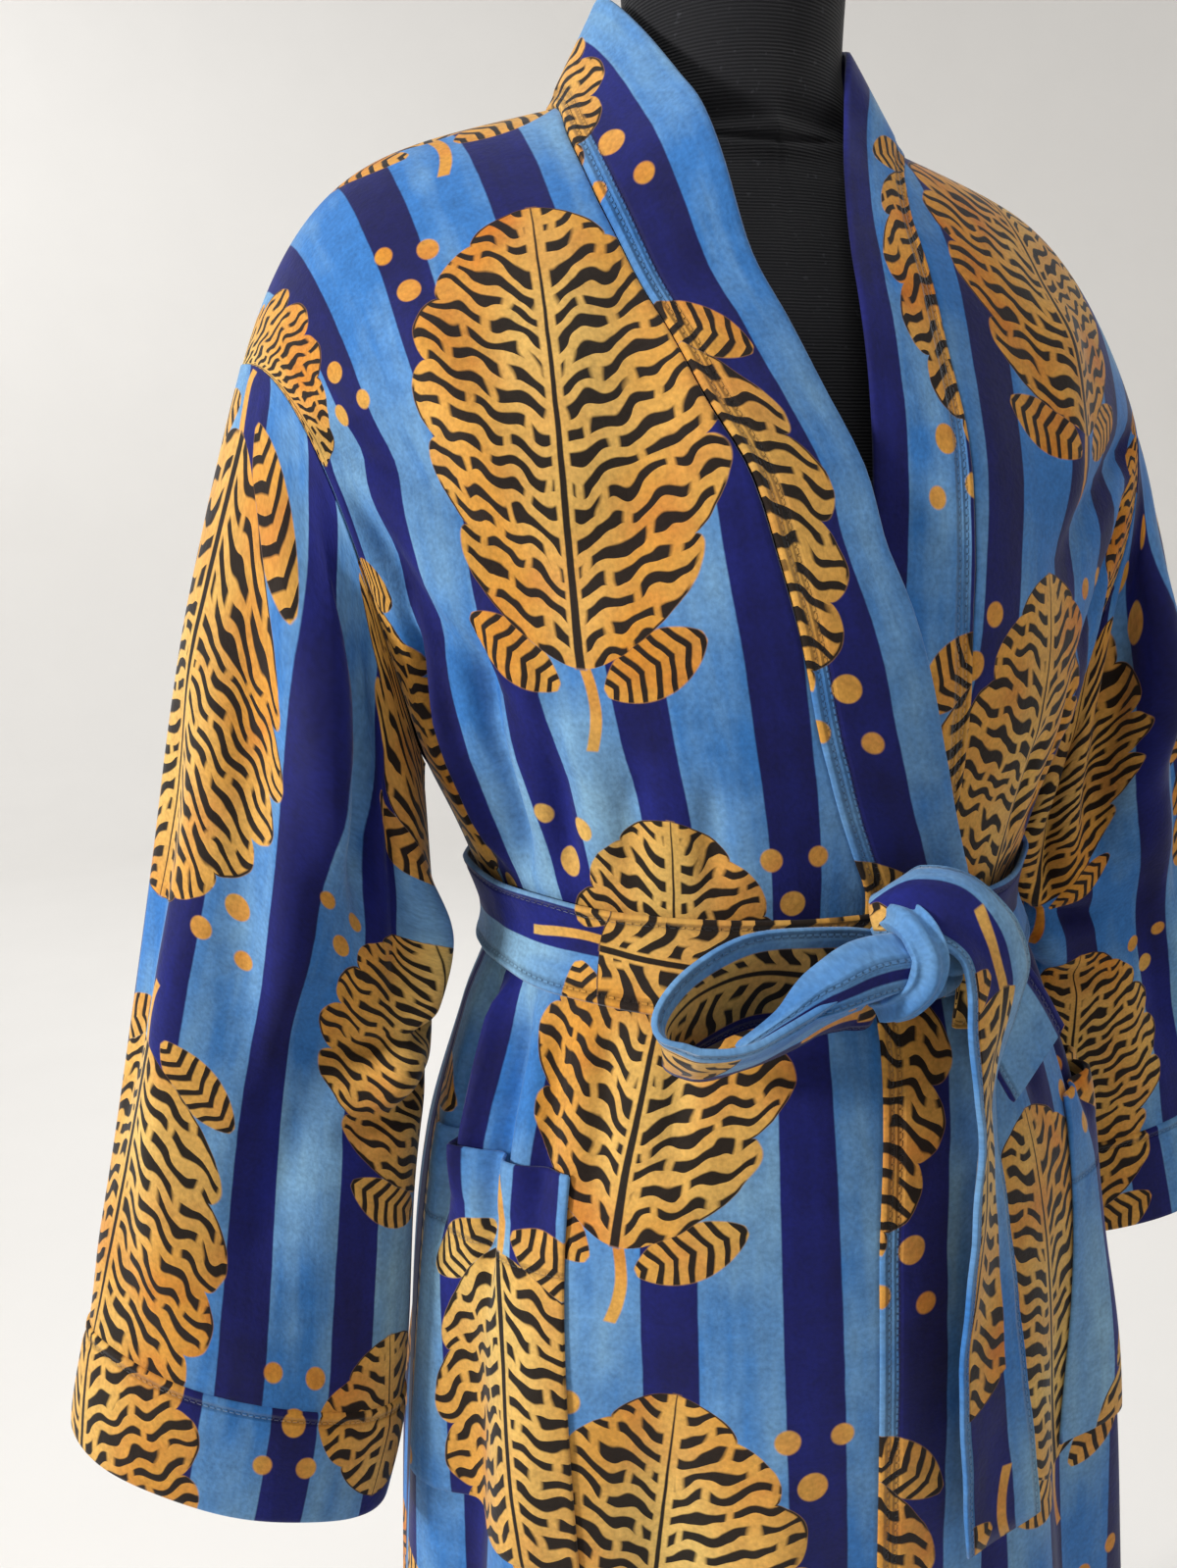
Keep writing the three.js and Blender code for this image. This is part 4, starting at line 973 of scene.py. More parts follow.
@dataclass
class BodySkin:
    """The one surface that panels, pockets, neckband and belt lie on, in millimetres.

    phi is 0 at the centre front, and grows towards the wearer's left; h is the height, or above the
    underarm the share of the way to the shoulder seam counted in the height at the neck point.
    """

    hem: float = 290
    underarm: float = 1090
    neck_point: float = 1417
    neck_x: float = 98
    armhole_x: float = 257
    underarm_x: float = 178
    neck_y: float = 17
    armhole_y: float = 38
    shoulder_fall: float = 0.24
    shoulder_round: float = 84
    left_in: float = 14
    left_drop: float = 13
    armhole_depth: float = 62
    belt_z: float = 1014
    belt_fall: float = 17
    lap_lift: float = 4.4
    flare_from: float = 900
    flare_rise: float = 610
    ripple: Ripple = Ripple(1.0, 5, 105.0)
    weight: Ripple = Ripple(1.6, 8, 240.0)
    depth: float = 3.0
    creases_front: tuple[Crease, ...] = CREASES_FRONT
    creases_back: tuple[Crease, ...] = CREASES_BACK
    arc: Curve = field(init=False)

    def __post_init__(self) -> None:
        """Fits the curves of the tables."""
        self.half, self.front, self.back = curves(SECTIONS)
        self.yoke_front, self.yoke_back = curves(YOKE)
        h = np.linspace(self.hem, self.neck_point, 300)
        self.arc = Curve(h, arc_length(self.place(False, np.full_like(h, -0.75), h)) + self.hem)

    def share(self, h: Array) -> Array:
        """Share of the way from the underarm to the shoulder."""
        return np.clip((np.asarray(h, float) - self.underarm) / (self.neck_point - self.underarm), 0, 1)

    def half_at(self, h: Array) -> Array:
        """Half width at a height."""
        yoke = self.underarm_x + (self.armhole_x - self.underarm_x) * self.share(h) ** 0.8
        return np.where(np.asarray(h) > self.underarm, yoke, self.half(h))

    def front_phi(self, x: Array, h: Array) -> Array:
        """The angle at which the front is x from the centre."""
        return np.arcsin(np.clip(x / self.half_at(h), -1, 1))

    def fold(self, phi: Array, h: Array) -> Array:
        """Flutes that open towards the hem, less the gathers that the belt pulls in.

        Args:
            phi: Turn in radians.
            h: Height.

        Returns:
            The height of the folds, in millimetres.
        """
        rear = (1 - np.cos(phi)) / 2
        flare = np.clip((self.flare_from - h) / self.flare_rise, 0, 1)
        flute = flare ** 1.3 * (3.5 + 6 * rear) * np.cos(9 * phi + 0.6)
        side = ease(30 * DEG, 65 * DEG, np.abs(np.arctan2(np.sin(phi), np.cos(phi))))
        return flute - 3.4 * side * hump(h, 1008, 62) * (0.5 - 0.5 * np.cos(12 * phi))

    def shoulder(self, x: Array) -> Array:
        """Height of the shoulder seam: a straight fall from the neck, less a fifth power of the distance.

        Args:
            x: Sideways place.

        Returns:
            Height at each place.
        """
        d = np.abs(x) - self.neck_x
        drop = np.maximum(d / (self.armhole_x - self.neck_x), 0) ** 5
        return self.neck_point - self.shoulder_fall * d - self.shoulder_round * drop

    def place(self, back: bool, phi: Array, h: Array) -> Array:
        """A point of the bare skin.

        Below the underarm each level is an ellipse with folds. Above it the side edge follows the
        armhole, the middle follows the reach of the yoke, and a power of the cosine joins them.

        Args:
            back: True for the back half.
            phi: Angle round the body.
            h: Height.

        Returns:
            Points in millimetres.
        """
        phi, h = np.broadcast_arrays(np.asarray(phi, float), np.asarray(h, float))
        s, c = np.sin(phi), np.cos(phi)
        towards = 1 if back else -1
        fold = self.fold(phi, h)
        reach = -(self.back if back else self.front)(h)
        low = points((self.half(h) + fold) * s, (reach - fold) * c, h)
        t = self.share(h)
        fold = fold * (1 - ease(0, 0.35, t))
        bulge = np.maximum(np.sin(math.pi * t ** 0.9), 0) ** 0.8
        edge_y = self.armhole_y * t + towards * self.armhole_depth * bulge
        reach = (self.yoke_back if back else self.yoke_front)(t) * np.sqrt(np.maximum(1 - t ** 3.2, 0))
        middle_y = self.neck_y * t + towards * reach
        x = (self.underarm_x + (self.armhole_x - self.underarm_x) * t ** 0.8) * s
        y = edge_y + (middle_y - edge_y) * np.abs(c) ** (1 + np.clip(t / 0.3, 0, 1))
        left = np.maximum(s, 0)
        drop = self.left_drop * t * ease(0, 0.3, left) * (1 - left ** 6)
        z = self.underarm + (self.shoulder(x) - self.underarm) * t - drop
        high = points(x - self.left_in * t * left + fold * s, y - fold * c, z)
        return np.where((h <= self.underarm)[..., None], low, high)

    def relief(self, back: bool, phi: Array, h: Array, bare: Array) -> Array:
        """Creases placed one by one and soft waves, which die out at the belt, the sides and the shoulders.

        Args:
            back: True for the back half.
            phi: Angle round the body.
            h: Height.
            bare: The points of the bare skin there.

        Returns:
            Heights along the normal.
        """
        a = ((phi - math.pi) if back else phi) / (math.pi / 2) * WRAP
        level = self.belt_z - (0 if back else self.belt_fall) * np.cos(phi)
        clear = ease(24, 48, np.abs(h - level))
        ends = ease(0, 26, WRAP - np.abs(a)) * (1 - ease(1340, 1400, h))
        soft = self.ripple(bare) + self.weight(bare) * (1 - ease(820, 1000, h))
        creases = self.creases_back if back else self.creases_front
        return (self.depth * creased(creases, a, h) + soft) * clear * ends

    def out(self, back: bool, phi: Array, h: Array, distance: Array | float, relief: float = 1.0) -> Array:
        """A point of the skin moved out along its normal, with its creases.

        Args:
            back: True for the back half.
            phi: Angle round the body.
            h: Height.
            distance: How far out.
            relief: Share of the creases' height.

        Returns:
            Points in millimetres.
        """
        phi, h = np.broadcast_arrays(np.asarray(phi, float), np.asarray(h, float))
        low, high = (90 * DEG, 270 * DEG) if back else (-90 * DEG, 90 * DEG)
        right, left = np.minimum(phi + 0.03, high), np.maximum(phi - 0.03, low)
        over, under = np.minimum(h + 3, self.neck_point), np.maximum(h - 3, self.hem)
        across = self.place(back, right, h) - self.place(back, left, h)
        up = self.place(back, phi, over) - self.place(back, phi, under)
        normal = unit(np.cross(across, up))
        bare = self.place(back, phi, h)
        far = distance + (relief * self.relief(back, phi, h, bare) if relief else 0.0)
        return bare + normal * np.asarray(far)[..., None]

    def lap(self, phi: Array, h: Array) -> Array:
        """How far the lapped right front stands out, to pass over the left one."""
        return self.lap_lift * ease(-75 * DEG, -22 * DEG, phi) * (1 - ease(1215, 1320, h))

    def across(self, turn: Array, h: Array) -> Array:
        """Cloth from the middle line to a turn: it flares below the hip, and widens at the chest.

        Args:
            turn: Turn in degrees.
            h: Height.

        Returns:
            Flat distance in millimetres.
        """
        chest = ease(1010, 1215, h)
        low = np.clip((self.flare_from - np.asarray(h, float)) / self.flare_rise, 0, 1)
        flare = mix(1.0, 1.22, low)
        return turn * mix(3.2, 3.816, chest) * flare - 23.9 * chest


@dataclass
class Panel:
    """A panel of the body: its cloth's thickness and how finely it is drawn."""

    skin: BodySkin
    cloth: float = 2.0
    gap: float = 0.3
    low_rows: int = 124
    high_rows: int = 60

    def heights(self, top_share: Array) -> Array:
        """Heights of the rows, closing up towards the shoulder by a square, for each column.

        Args:
            top_share: Share of the way to the shoulder at which each column ends.

        Returns:
            Rows by columns.
        """
        skin = self.skin
        low = np.linspace(skin.hem, skin.underarm, self.low_rows)
        s = np.linspace(0, 1, self.high_rows + 1)[1:, None] * (1 - np.sqrt(1 - top_share))
        high = skin.underarm + (skin.neck_point - skin.underarm) * (1 - (1 - s) ** 2)
        return np.concatenate([np.repeat(low[:, None], len(top_share), 1), high])


@dataclass
class BackPanel(Panel):
    """The back, cut in one piece, with the back neckline between the shoulder points."""

    shoulder_columns: int = 52
    neck_columns: int = 26
    neck_h: float = 1383

    def build(self) -> bpy.types.Object:
        """The back's mesh: its columns run from one side seam round the back to the other."""
        half = np.concatenate([
            np.linspace(90 * DEG, math.pi - NECK_ANGLE, self.shoulder_columns, endpoint=False),
            np.linspace(math.pi - NECK_ANGLE, math.pi, self.neck_columns, endpoint=False),
        ])
        phi = np.concatenate([half, [math.pi], 2 * math.pi - half[::-1]])
        k = np.minimum(np.abs(np.sin(phi)) / NECK_SINE, 1)
        h = self.heights(self.skin.share(mix(self.neck_h, self.skin.neck_point, k * k)))
        phi = np.broadcast_to(phi, h.shape)
        outer, inner = (self.skin.out(True, phi, h, out) + [0, self.gap / 2, 0] for out in (self.cloth, 0.0))
        uv = np.stack([self.skin.across((phi - math.pi) / DEG, h), self.skin.arc(h)], -1)
        return Solid.shell("back_cloth", outer * MM, inner * MM, uv * MM)


@dataclass
class FrontPanel(Panel):
    """A front, from its side seam to its neckband seam; the right one laps over the left."""

    hand: int = -1
    seam: Sequence = ()
    columns: int = 96

    def __post_init__(self) -> None:
        """Fits the curve of the neckband seam."""
        self.seam_x = curves(self.seam)[0]

    def phi(self, share: Array, h: Array) -> Array:
        """The angle at a share of the way from the side seam to the neckband seam."""
        inner = self.skin.front_phi(self.seam_x(h) + self.hand * self.gap, h)
        return mix(self.hand * 90 * DEG, inner, share)

    def point(self, share: Array, h: Array, out: Array | float) -> Array:
        """A point at a distance out from the panel's inside.

        Args:
            share: Place across, from 0 at the centre line.
            h: Height.
            out: Distance out.

        Returns:
            A point each.
        """
        phi = self.phi(share, h)
        lift = self.skin.lap(phi, h) if self.hand < 0 else 0.0
        return self.skin.out(False, phi, h, lift + out) - [0, self.gap / 2, 0]

    def flat(self, share: Array, h: Array) -> Array:
        """Flat place on the cloth: from the centre line towards the side, and up."""
        return np.stack([self.skin.across(self.hand * self.phi(share, h) / DEG, h), self.skin.arc(h)], -1)

    def build(self, name: str) -> bpy.types.Object:
        """The front's mesh.

        Args:
            name: The piece's name.

        Returns:
            The mesh object.
        """
        h = self.heights(np.ones(self.columns + 1))
        share = np.broadcast_to(np.linspace(0, 1, self.columns + 1), h.shape)
        outer, inner = (self.point(share, h, out) for out in (self.cloth, 0.0))
        return Solid.shell(name, outer * MM, inner * MM, self.flat(share, h) * MM)


@dataclass
class Pocket:
    """A patch pocket over its front's own points; its top edge stands a little open."""

    front: FrontPanel
    gape: float
    columns_of_front: int
    bottom: float = 704
    top: float = 898
    far: float = 1
    across: float = 6
    widens: float = 1.16
    gap: float = 0.75
    cloth: float = 2.0

    def build(self, name: str) -> bpy.types.Object:
        """The pocket's mesh: it opens by a power of a sine across its top, and sags between its sides.

        Args:
            name: The piece's name.

        Returns:
            The mesh object.
        """
        u, v = np.meshgrid(np.linspace(0, 1, 61), np.linspace(0, 1, 66))
        h = mix(self.bottom, self.top, v)
        share = (self.far + self.across * u * mix(self.widens, 1, v)) / self.columns_of_front
        lift = self.gape * np.sin(math.pi * u).clip(0) ** 1.5 * ease(0.45, 1, v)
        inside = np.sin(math.pi * u).clip(0) * np.sin(math.pi * v.clip(0, 0.86) / 0.86).clip(0)
        lift = lift + (0.9 + 0.5 * np.sin(9 * u + 4 * v)) * inside ** 0.6
        hem = 0.7 * (1 - ease(0.86, 0.885, v)) - 0.7
        base = self.cloth + self.gap + lift
        outer, inner = (self.front.point(share, h, base + out) for out in (self.cloth - hem, 0.0))
        return Solid.shell(name, outer * MM, inner * MM, self.front.flat(share, h) * MM)


@dataclass
class Neckband:
    """Half of the neckband, from the centre back over the shoulder and down to the hem.

    At the neck it is a ruled strip from its seam out to its free edge; below the chest it lies on the
    body. Its stations count 3 from the centre back to the shoulder, then 1 for each 30 of height.
    """

    skin: BodySkin
    hand: int
    seam: Sequence
    stand: Sequence
    width: float = 60
    cloth: float = 3
    clear: float = 2.4
    gap: float = 0.3
    lying_h: float = 1105
    standing_h: float = 1180
    back_neck_h: float = 1383
    step: float = 30
    wave: Ripple = Ripple(1.3, 21, 120.0)

    def __post_init__(self) -> None:
        """Fits the curves of the seam and the free edge."""
        self.seam_x = curves(self.seam)[0]
        rows = [(share * 3, self.hand * x, y, z) for share, x, y, z in STAND_BACK]
        rows += [(self.station(h), x, y, z) for h, x, y, z in self.stand]
        rows += [(self.station(h), *self.lying(1.0, h)) for h in (self.lying_h, self.lying_h - self.width)]
        self.free = curves(rows)

    def station(self, h: float) -> float:
        """Station at a height of the seam."""
        return 3 + (self.skin.neck_point - h) / self.step

    def lying(self, u: Array, h: Array) -> Array:
        """A point of the band where it lies on the body.

        Args:
            u: Place across, from 0 at the seam.
            h: Height.

        Returns:
            A point each.
        """
        lift = self.skin.lap(0, h) if self.hand < 0 else 0.0
        phi = self.skin.front_phi(self.seam_x(h) - self.hand * self.width * u, h)
        return self.skin.out(False, phi, h, lift)

    def surface(self, u: Array, station: Array) -> Array:
        """The inside of the band: lines ruled from the seam to the free edge, blended into what lies.

        Args:
            u: Place across, from 0 at the seam.
            station: Place along, from 0 at the middle of the neck.

        Returns:
            A point each.
        """
        h = np.minimum(self.skin.neck_point - (station - 3) * self.step, self.skin.neck_point)
        k = np.clip(station / 3, 0, 1)
        neck = mix(self.back_neck_h, self.skin.neck_point, k * k)
        round_back = self.skin.out(True, math.pi - self.hand * np.arcsin(k * NECK_SINE), neck, 0.0)
        round_back = round_back + points(0 * k, -self.gap * (1 - k), self.gap * 2 + 0 * k)
        seam = np.where((station >= 3)[..., None], self.lying(np.zeros_like(h), h), round_back)
        free = np.stack([f(station) for f in self.free], -1)
        free = free + (self.wave(free) * ease(1150, 1240, h))[..., None] * np.array([0.5, -0.5, 0.5])
        ruled = mix(seam, free, mix(self.clear / self.width, 1, u)[..., None])
        return mix(ruled, self.lying(u, h), (1 - ease(self.lying_h, self.standing_h, h))[..., None])

    def build(self, name: str) -> bpy.types.Object:
        """The band's mesh, a double cloth whose outside is softly padded between its edges.

        Args:
            name: The piece's name.

        Returns:
            The mesh object.
        """
        back = 3 * np.sin(np.linspace(0, NECK_ANGLE, 22)[:-1]) / NECK_SINE
        s = np.linspace(1, 0, 72)
        high = self.skin.underarm + (self.skin.neck_point - self.skin.underarm) * (1 - (1 - s) ** 2)
        low = np.linspace(self.skin.underarm, self.skin.hem, 126)[1:]
        stations = np.concatenate([back, self.station(np.concatenate([high, low]))])
        u, station = np.meshgrid(np.linspace(0, 1, 27), stations)
        e = 0.02
        ahead, behind = np.minimum(station + e, stations[-1]), np.maximum(station - e, 0)
        along = self.surface(u, ahead) - self.surface(u, behind)
        across = self.surface(u + e, station) - self.surface(u - e, station)
        normal = unit(np.cross(along, across)) * -self.hand
        inside = self.surface(u, station) - [0, self.gap / 2, 0]
        arch = np.sin(math.pi * u)
        swell = 0.7 * arch.clip(0) ** 0.5 + 0.35 * np.sin(station * 5.1 + 2 * u) * arch
        seam = -0.8 * hump(u, 0.13, 0.035) - 0.6 * hump(u, 0.07, 0.03)
        outer, inner = inside + normal * (self.cloth + swell + seam)[..., None], inside + 0 * normal
        outer[0, :, 0] = inner[0, :, 0] = self.hand * self.gap / 2
        length = arc_length(self.surface(np.full_like(stations, 0.5), stations))
        uv = np.stack([u * self.width, np.broadcast_to(length[:, None], u.shape)], -1)
        return Solid.shell(name, outer * MM, inner * MM, uv * MM)


@dataclass
class Sleeve:
    """A sleeve and its turned cuff, on rings from the armhole down; 0 is the outer edge, 90 the front."""

    skin: BodySkin
    hand: int
    rows: Sequence
    creases: tuple[Crease, ...] = ()
    cloth: float = 2
    cuff_share: float = 0.89
    cuff_out: float = 1.4
    length: float = 560
    girth: float = 396
    print_scale: float = 1.18
    half_width: float = 80
    half_depth: float = 50
    points_round: int = 144
    depth: float = 3.6
    ripple: Ripple = Ripple(1.5, 31, 95.0)

    def __post_init__(self) -> None:
        """Fits the curves of the rings."""
        self.columns = curves(self.rows)

    def bare(self, turn: Array, share: Array) -> Array:
        """A point of the sleeve: an ellipse between the ring's outer and inner edge, with long folds.

        Args:
            turn: Angle round the ring.
            share: Share of the sleeve's length.

        Returns:
            Points in millimetres.
        """
        out_x, out_z, in_x, in_z, depth, y = (f(share) for f in self.columns)
        c, s = np.cos(turn), np.sin(turn)
        fold = np.zeros(np.broadcast(turn, share).shape)
        for top, low, wide, high, start, end in SLEEVE_FOLDS:
            at = mix(top, low, ease(start, start + 0.2, share))
            off = np.mod(turn / DEG - at + 540, 360) - 180
            fade = ease(start, start + 0.15, share) * (1 - ease(end - 0.2, end, share))
            fold = fold + high * hump(off, 0, wide) * fade
        x, z = mix(in_x, out_x, (1 + c) / 2), mix(in_z, out_z, (1 + c) / 2)
        return points(self.hand * (x + fold * c * 0.6), y - depth * s - fold * s, z)

    def ring(self, turn: Array, share: Array, out: Array | float) -> Array:
        """A point moved out along the sleeve's normal, with creases and soft waves.

        Args:
            turn: Place round, in radians.
            share: Place down, from 0 at the armhole.
            out: Distance out.

        Returns:
            A point each.
        """
        bare = self.bare(turn, share)
        across = self.bare(turn + 0.02, share) - self.bare(turn - 0.02, share)
        along = self.bare(turn, share + 0.01) - self.bare(turn, share - 0.01)
        normal = unit(np.cross(across, along)) * self.hand
        a = np.mod(turn / DEG, 360) / 360 * self.girth
        b = share * self.length
        fade = ease(0.0, 0.16, share) * (1 - 0.75 * ease(0.8, 0.88, share))
        edge = sum(creased(self.creases, a + turn_on, b) for turn_on in (0, -self.girth, self.girth))
        return bare + normal * (out + (edge * self.depth + self.ripple(bare)) * fade)[..., None]

    def armhole(self, turn: Array, out: float) -> Array:
        """The armhole's edge of the body panels, at the same places round as the first ring.

        Args:
            turn: Place round, in radians.
            out: Distance out.

        Returns:
            A point each.
        """
        t = (1 + np.cos(turn)) / 2
        h = mix(self.skin.underarm, self.skin.neck_point, t)
        front = self.skin.out(False, np.full_like(h, self.hand * 90 * DEG), h, out)
        back = self.skin.out(True, np.full_like(h, (90 if self.hand > 0 else 270) * DEG), h, out)
        side = np.sin(turn)
        weight = np.where(np.abs(side) < 1e-6, 0.5, np.where(side > 0, 0.0, 1.0))
        p = mix(front, back, weight[..., None])
        return p + points(self.hand * (0.8 + 3 * (1 - t) ** 4), 0 * t, 0 * t)

    def grid(self, shares: Array, out: float) -> Array:
        """Points of the sleeve for rows of shares, which leave the armhole smoothly.

        Args:
            shares: Places down, from 0 at the armhole.
            out: Distance out.

        Returns:
            A grid of points.
        """
        share, turn = np.meshgrid(shares, self.turns()[:-1], indexing="ij")
        leaving = (ease(-0.02, 0.2, share) * np.clip(share / 0.03, 0, 1))[..., None]
        return mix(self.armhole(turn, out), self.ring(turn, share, out), leaving)

    def flat(self, shares: Array) -> Array:
        """Flat places: the arc round an ellipse from the sleeve's outer edge, and the way down it.

        Args:
            shares: Places down, from 0 at the armhole.

        Returns:
            Flat places in millimetres.
        """
        turn = self.turns()
        step = np.hypot(self.half_width * np.sin(turn), self.half_depth * np.cos(turn))
        arc = np.concatenate([[0], np.cumsum((step[1:] + step[:-1]) / 2 * np.diff(turn))])
        s, t = np.meshgrid((arc - arc[-1] / 2) * self.print_scale, shares * self.length)
        return np.stack([s, t], -1)

    def turns(self) -> Array:
        """Angles round a ring, from its underarm seam and back to it."""
        return np.linspace(-math.pi, math.pi, self.points_round + 1)

    def build_sleeve(self, name: str) -> bpy.types.Object:
        """The sleeve's mesh, down to the cuff's seam.

        Args:
            name: The piece's name.

        Returns:
            The mesh object.
        """
        shares = np.linspace(0, self.cuff_share - 0.0012, 118)
        outer, inner = self.grid(shares, self.cloth), self.grid(shares, 0)
        return Solid.shell(name, outer * MM, inner * MM, self.flat(shares) * MM, True)

    def build_cuff(self, name: str) -> bpy.types.Object:
        """The cuff's mesh: double cloth that stands wider than the sleeve, with a soft roll at its hem.

        Args:
            name: The piece's name.

        Returns:
            The mesh object.
        """
        shares = np.linspace(self.cuff_share, 1, 26)
        share, turn = np.meshgrid(shares, self.turns()[:-1], indexing="ij")
        v = (share - self.cuff_share) / (1 - self.cuff_share)
        swell = 0.9 * np.sin(math.pi * v).clip(0) ** 0.6 - 0.9 * hump(v, 0.1, 0.05)
        swell = swell + 0.5 * np.sin(7 * turn + 3 * v) * ease(0.3, 1, v)
        outer = self.ring(turn, share, self.cloth + self.cuff_out + swell)
        inner = self.ring(turn, share, 0.5 * np.sin(7 * turn + 3 * v) * ease(0.3, 1, v))
        return Solid.shell(name, outer * MM, inner * MM, self.flat(shares) * MM, True)


def catmull_rom(rows: Array, t: Array) -> Array:
    """Points of a centripetal Catmull-Rom curve through rows, at shares t of the rows.

    Each end has one more row, mirrored through the end. The tangents come from the square roots of
    the distances between rows.

    Args:
        rows: The rows it goes through.
        t: Shares from 0 to 1.

    Returns:
        A point for each share.
    """
    rows = np.asarray(rows, float)
    p = np.concatenate([[2 * rows[0] - rows[1]], rows, [2 * rows[-1] - rows[-2]]])
    place = np.clip(t, 0, 1) * (len(rows) - 1)
    i = np.minimum(place.astype(int), len(rows) - 2)
    w = (place - i)[:, None]
    p0, p1, p2, p3 = p[i], p[i + 1], p[i + 2], p[i + 3]
    d0, d1, d2 = (np.sqrt(np.maximum(np.linalg.norm(b - a, axis=-1, keepdims=True), 1e-4))
                  for a, b in ((p0, p1), (p1, p2), (p2, p3)))
    m1 = ((p1 - p0) / d0 - (p2 - p0) / (d0 + d1) + (p2 - p1) / d1) * d1
    m2 = ((p2 - p1) / d1 - (p3 - p1) / (d1 + d2) + (p3 - p2) / d2) * d1
    w2, w3 = w * w, w * w * w
    return p1 * (2 * w3 - 3 * w2 + 1) + m1 * (w3 - 2 * w2 + w) + p2 * (3 * w2 - 2 * w3) + m2 * (w3 - w2)


@dataclass
class Strap:
    """A length of the belt: a flat tube of double cloth along a table of points and width directions."""

    rows: Sequence
    width: float
    thick: float = 4.2
    steps: int = 110
    sides: int = 60
    curl: Callable[[Array, Array], Array] | None = None
    bevel: float = 0.0
    taper: Sequence[tuple[float, float]] = ()

    def build(self, name: str) -> bpy.types.Object:
        """The strap's mesh.

        The section is a superellipse, flat in the middle and round at its edges. The curl adds a height
        to the whole section at each place across and along, and the taper scales its width along.

        Args:
            name: The piece's name.

        Returns:
            The mesh object.
        """
        table = np.array(self.rows, float)
        t = np.linspace(0, 1, self.steps + 1)
        path = catmull_rom(table[:, :3], t)
        lean = catmull_rom(unit(table[:, 3:]), t)
        along = unit(np.gradient(path, axis=0))
        across = unit(lean - along * (lean * along).sum(-1, keepdims=True))
        face = np.cross(along, across)
        angle = np.linspace(0, 2 * math.pi, self.sides, endpoint=False)
        c, s = np.cos(angle), np.sin(angle)
        flat = np.sign(c) * np.abs(c) ** 0.55 * self.width / 2
        d = np.sign(s) * np.abs(s) ** 0.35 * self.thick / 2
        w, d = (np.broadcast_to(v, (len(t), self.sides)) for v in (flat, d))
        if self.taper:
            w = w * curves(self.taper)[0](t)[:, None]
        length = arc_length(path)[:, None]
        if self.bevel:
            end = length[-1] - self.bevel * (0.5 + w / self.width)
            over = np.clip(length - end, 0, None)
            slide = -over[..., None] * along[:, None]
        else:
            slide = 0.0
        if self.curl is not None:
            d = d + self.curl(flat / self.width * 2, t[:, None])
        d = d + 0.5 * np.sin(length / 9.0 + w / 7.0) * np.sin(length / 23.0)
        close = 1 - 0.35 * hump(t[:, None], 1.0, 0.012) - 0.35 * hump(t[:, None], 0.0, 0.012)
        w = w * (1 - (1 - close) * 0.06)
        co = path[:, None] + across[:, None] * w[..., None] + face[:, None] * (d * close)[..., None] + slide
        last = np.broadcast_to(np.append(flat, flat[0]), (len(t), self.sides + 1))
        uv = np.stack([last + self.width / 2, np.broadcast_to(length, last.shape)], -1)
        return Solid.loft(name, co * MM, uv * MM)


@dataclass
class WaistBelt:
    """The belt round the waist, over every layer that it crosses; it dips towards the front."""

    skin: BodySkin
    width: float = 50
    thick: float = 3
    cloth: float = 2
    girth: float = 830

    def build(self, name: str) -> bpy.types.Object:
        """The belt's mesh: a ring of double cloth, with slack rolls near the knot and a soft lower edge.

        Args:
            name: The piece's name.

        Returns:
            The mesh object.
        """
        turn, v = np.meshgrid(np.linspace(-math.pi, math.pi, 420, endpoint=False), np.linspace(0, 1, 25))
        back = np.abs(turn) > math.pi / 2
        z = self.skin.belt_z - np.where(back, 0, self.skin.belt_fall * np.cos(turn)) + (v - 0.5) * self.width
        right = np.where(turn < 0, self.skin.lap(turn, np.full_like(turn, self.skin.belt_z)),
                         self.skin.lap_lift * (1 - ease(34 * DEG, 58 * DEG, turn)))
        band = ease(-25 * DEG, -5 * DEG, turn) * (1 - ease(34 * DEG, 52 * DEG, turn))
        over = np.where(back, 0, right + band)
        phi = np.where(back & (turn < 0), turn + 2 * math.pi, turn)
        far = self.cloth + over + 1.4 + 1.2 * np.abs(v - 0.5) - np.minimum(self.skin.fold(phi, z), 0)
        pull = np.sin(math.pi * v).clip(0) ** 0.4
        wave = np.sin(6 * turn + 5 * v + 0.8) + 0.6 * np.sin(13 * turn - 7 * v)
        wave = (wave + 0.5 * np.sin(29 * turn + 3 * v)) * 0.4
        wave = wave + 1.0 * hump(v, 0.30 + 0.10 * np.sin(3 * turn), 0.10) * hump(turn, -0.42, 0.5)
        wave = wave - 0.8 * hump(v, 0.55 + 0.12 * np.sin(4 * turn + 1), 0.08) * hump(turn, -0.3, 0.4)
        stitch = -0.35 * (hump(v, 0.08, 0.025) + hump(v, 0.92, 0.025))
        swell = (wave + 0.55) * pull + stitch

        def grid(out: Array | float) -> Array:
            """Points at a distance out, on the front or the back of the skin.

            Args:
                out: Distance out.

            Returns:
                A grid of points.
            """
            behind = self.skin.out(True, phi, z, far + out, 0.0)
            before = self.skin.out(False, np.where(back, 0.0, turn), z, far + out, 0.0)
            return np.where(back[..., None], behind, before)

        outer, inner = grid(self.thick + swell), grid(0.0)
        length = np.linspace(0, self.girth, 421)
        uv = np.stack(np.meshgrid(length, np.linspace(0, self.width, 25)), -1)[..., ::-1]
        return Solid.shell(name, outer * MM, inner * MM, uv * MM, True)


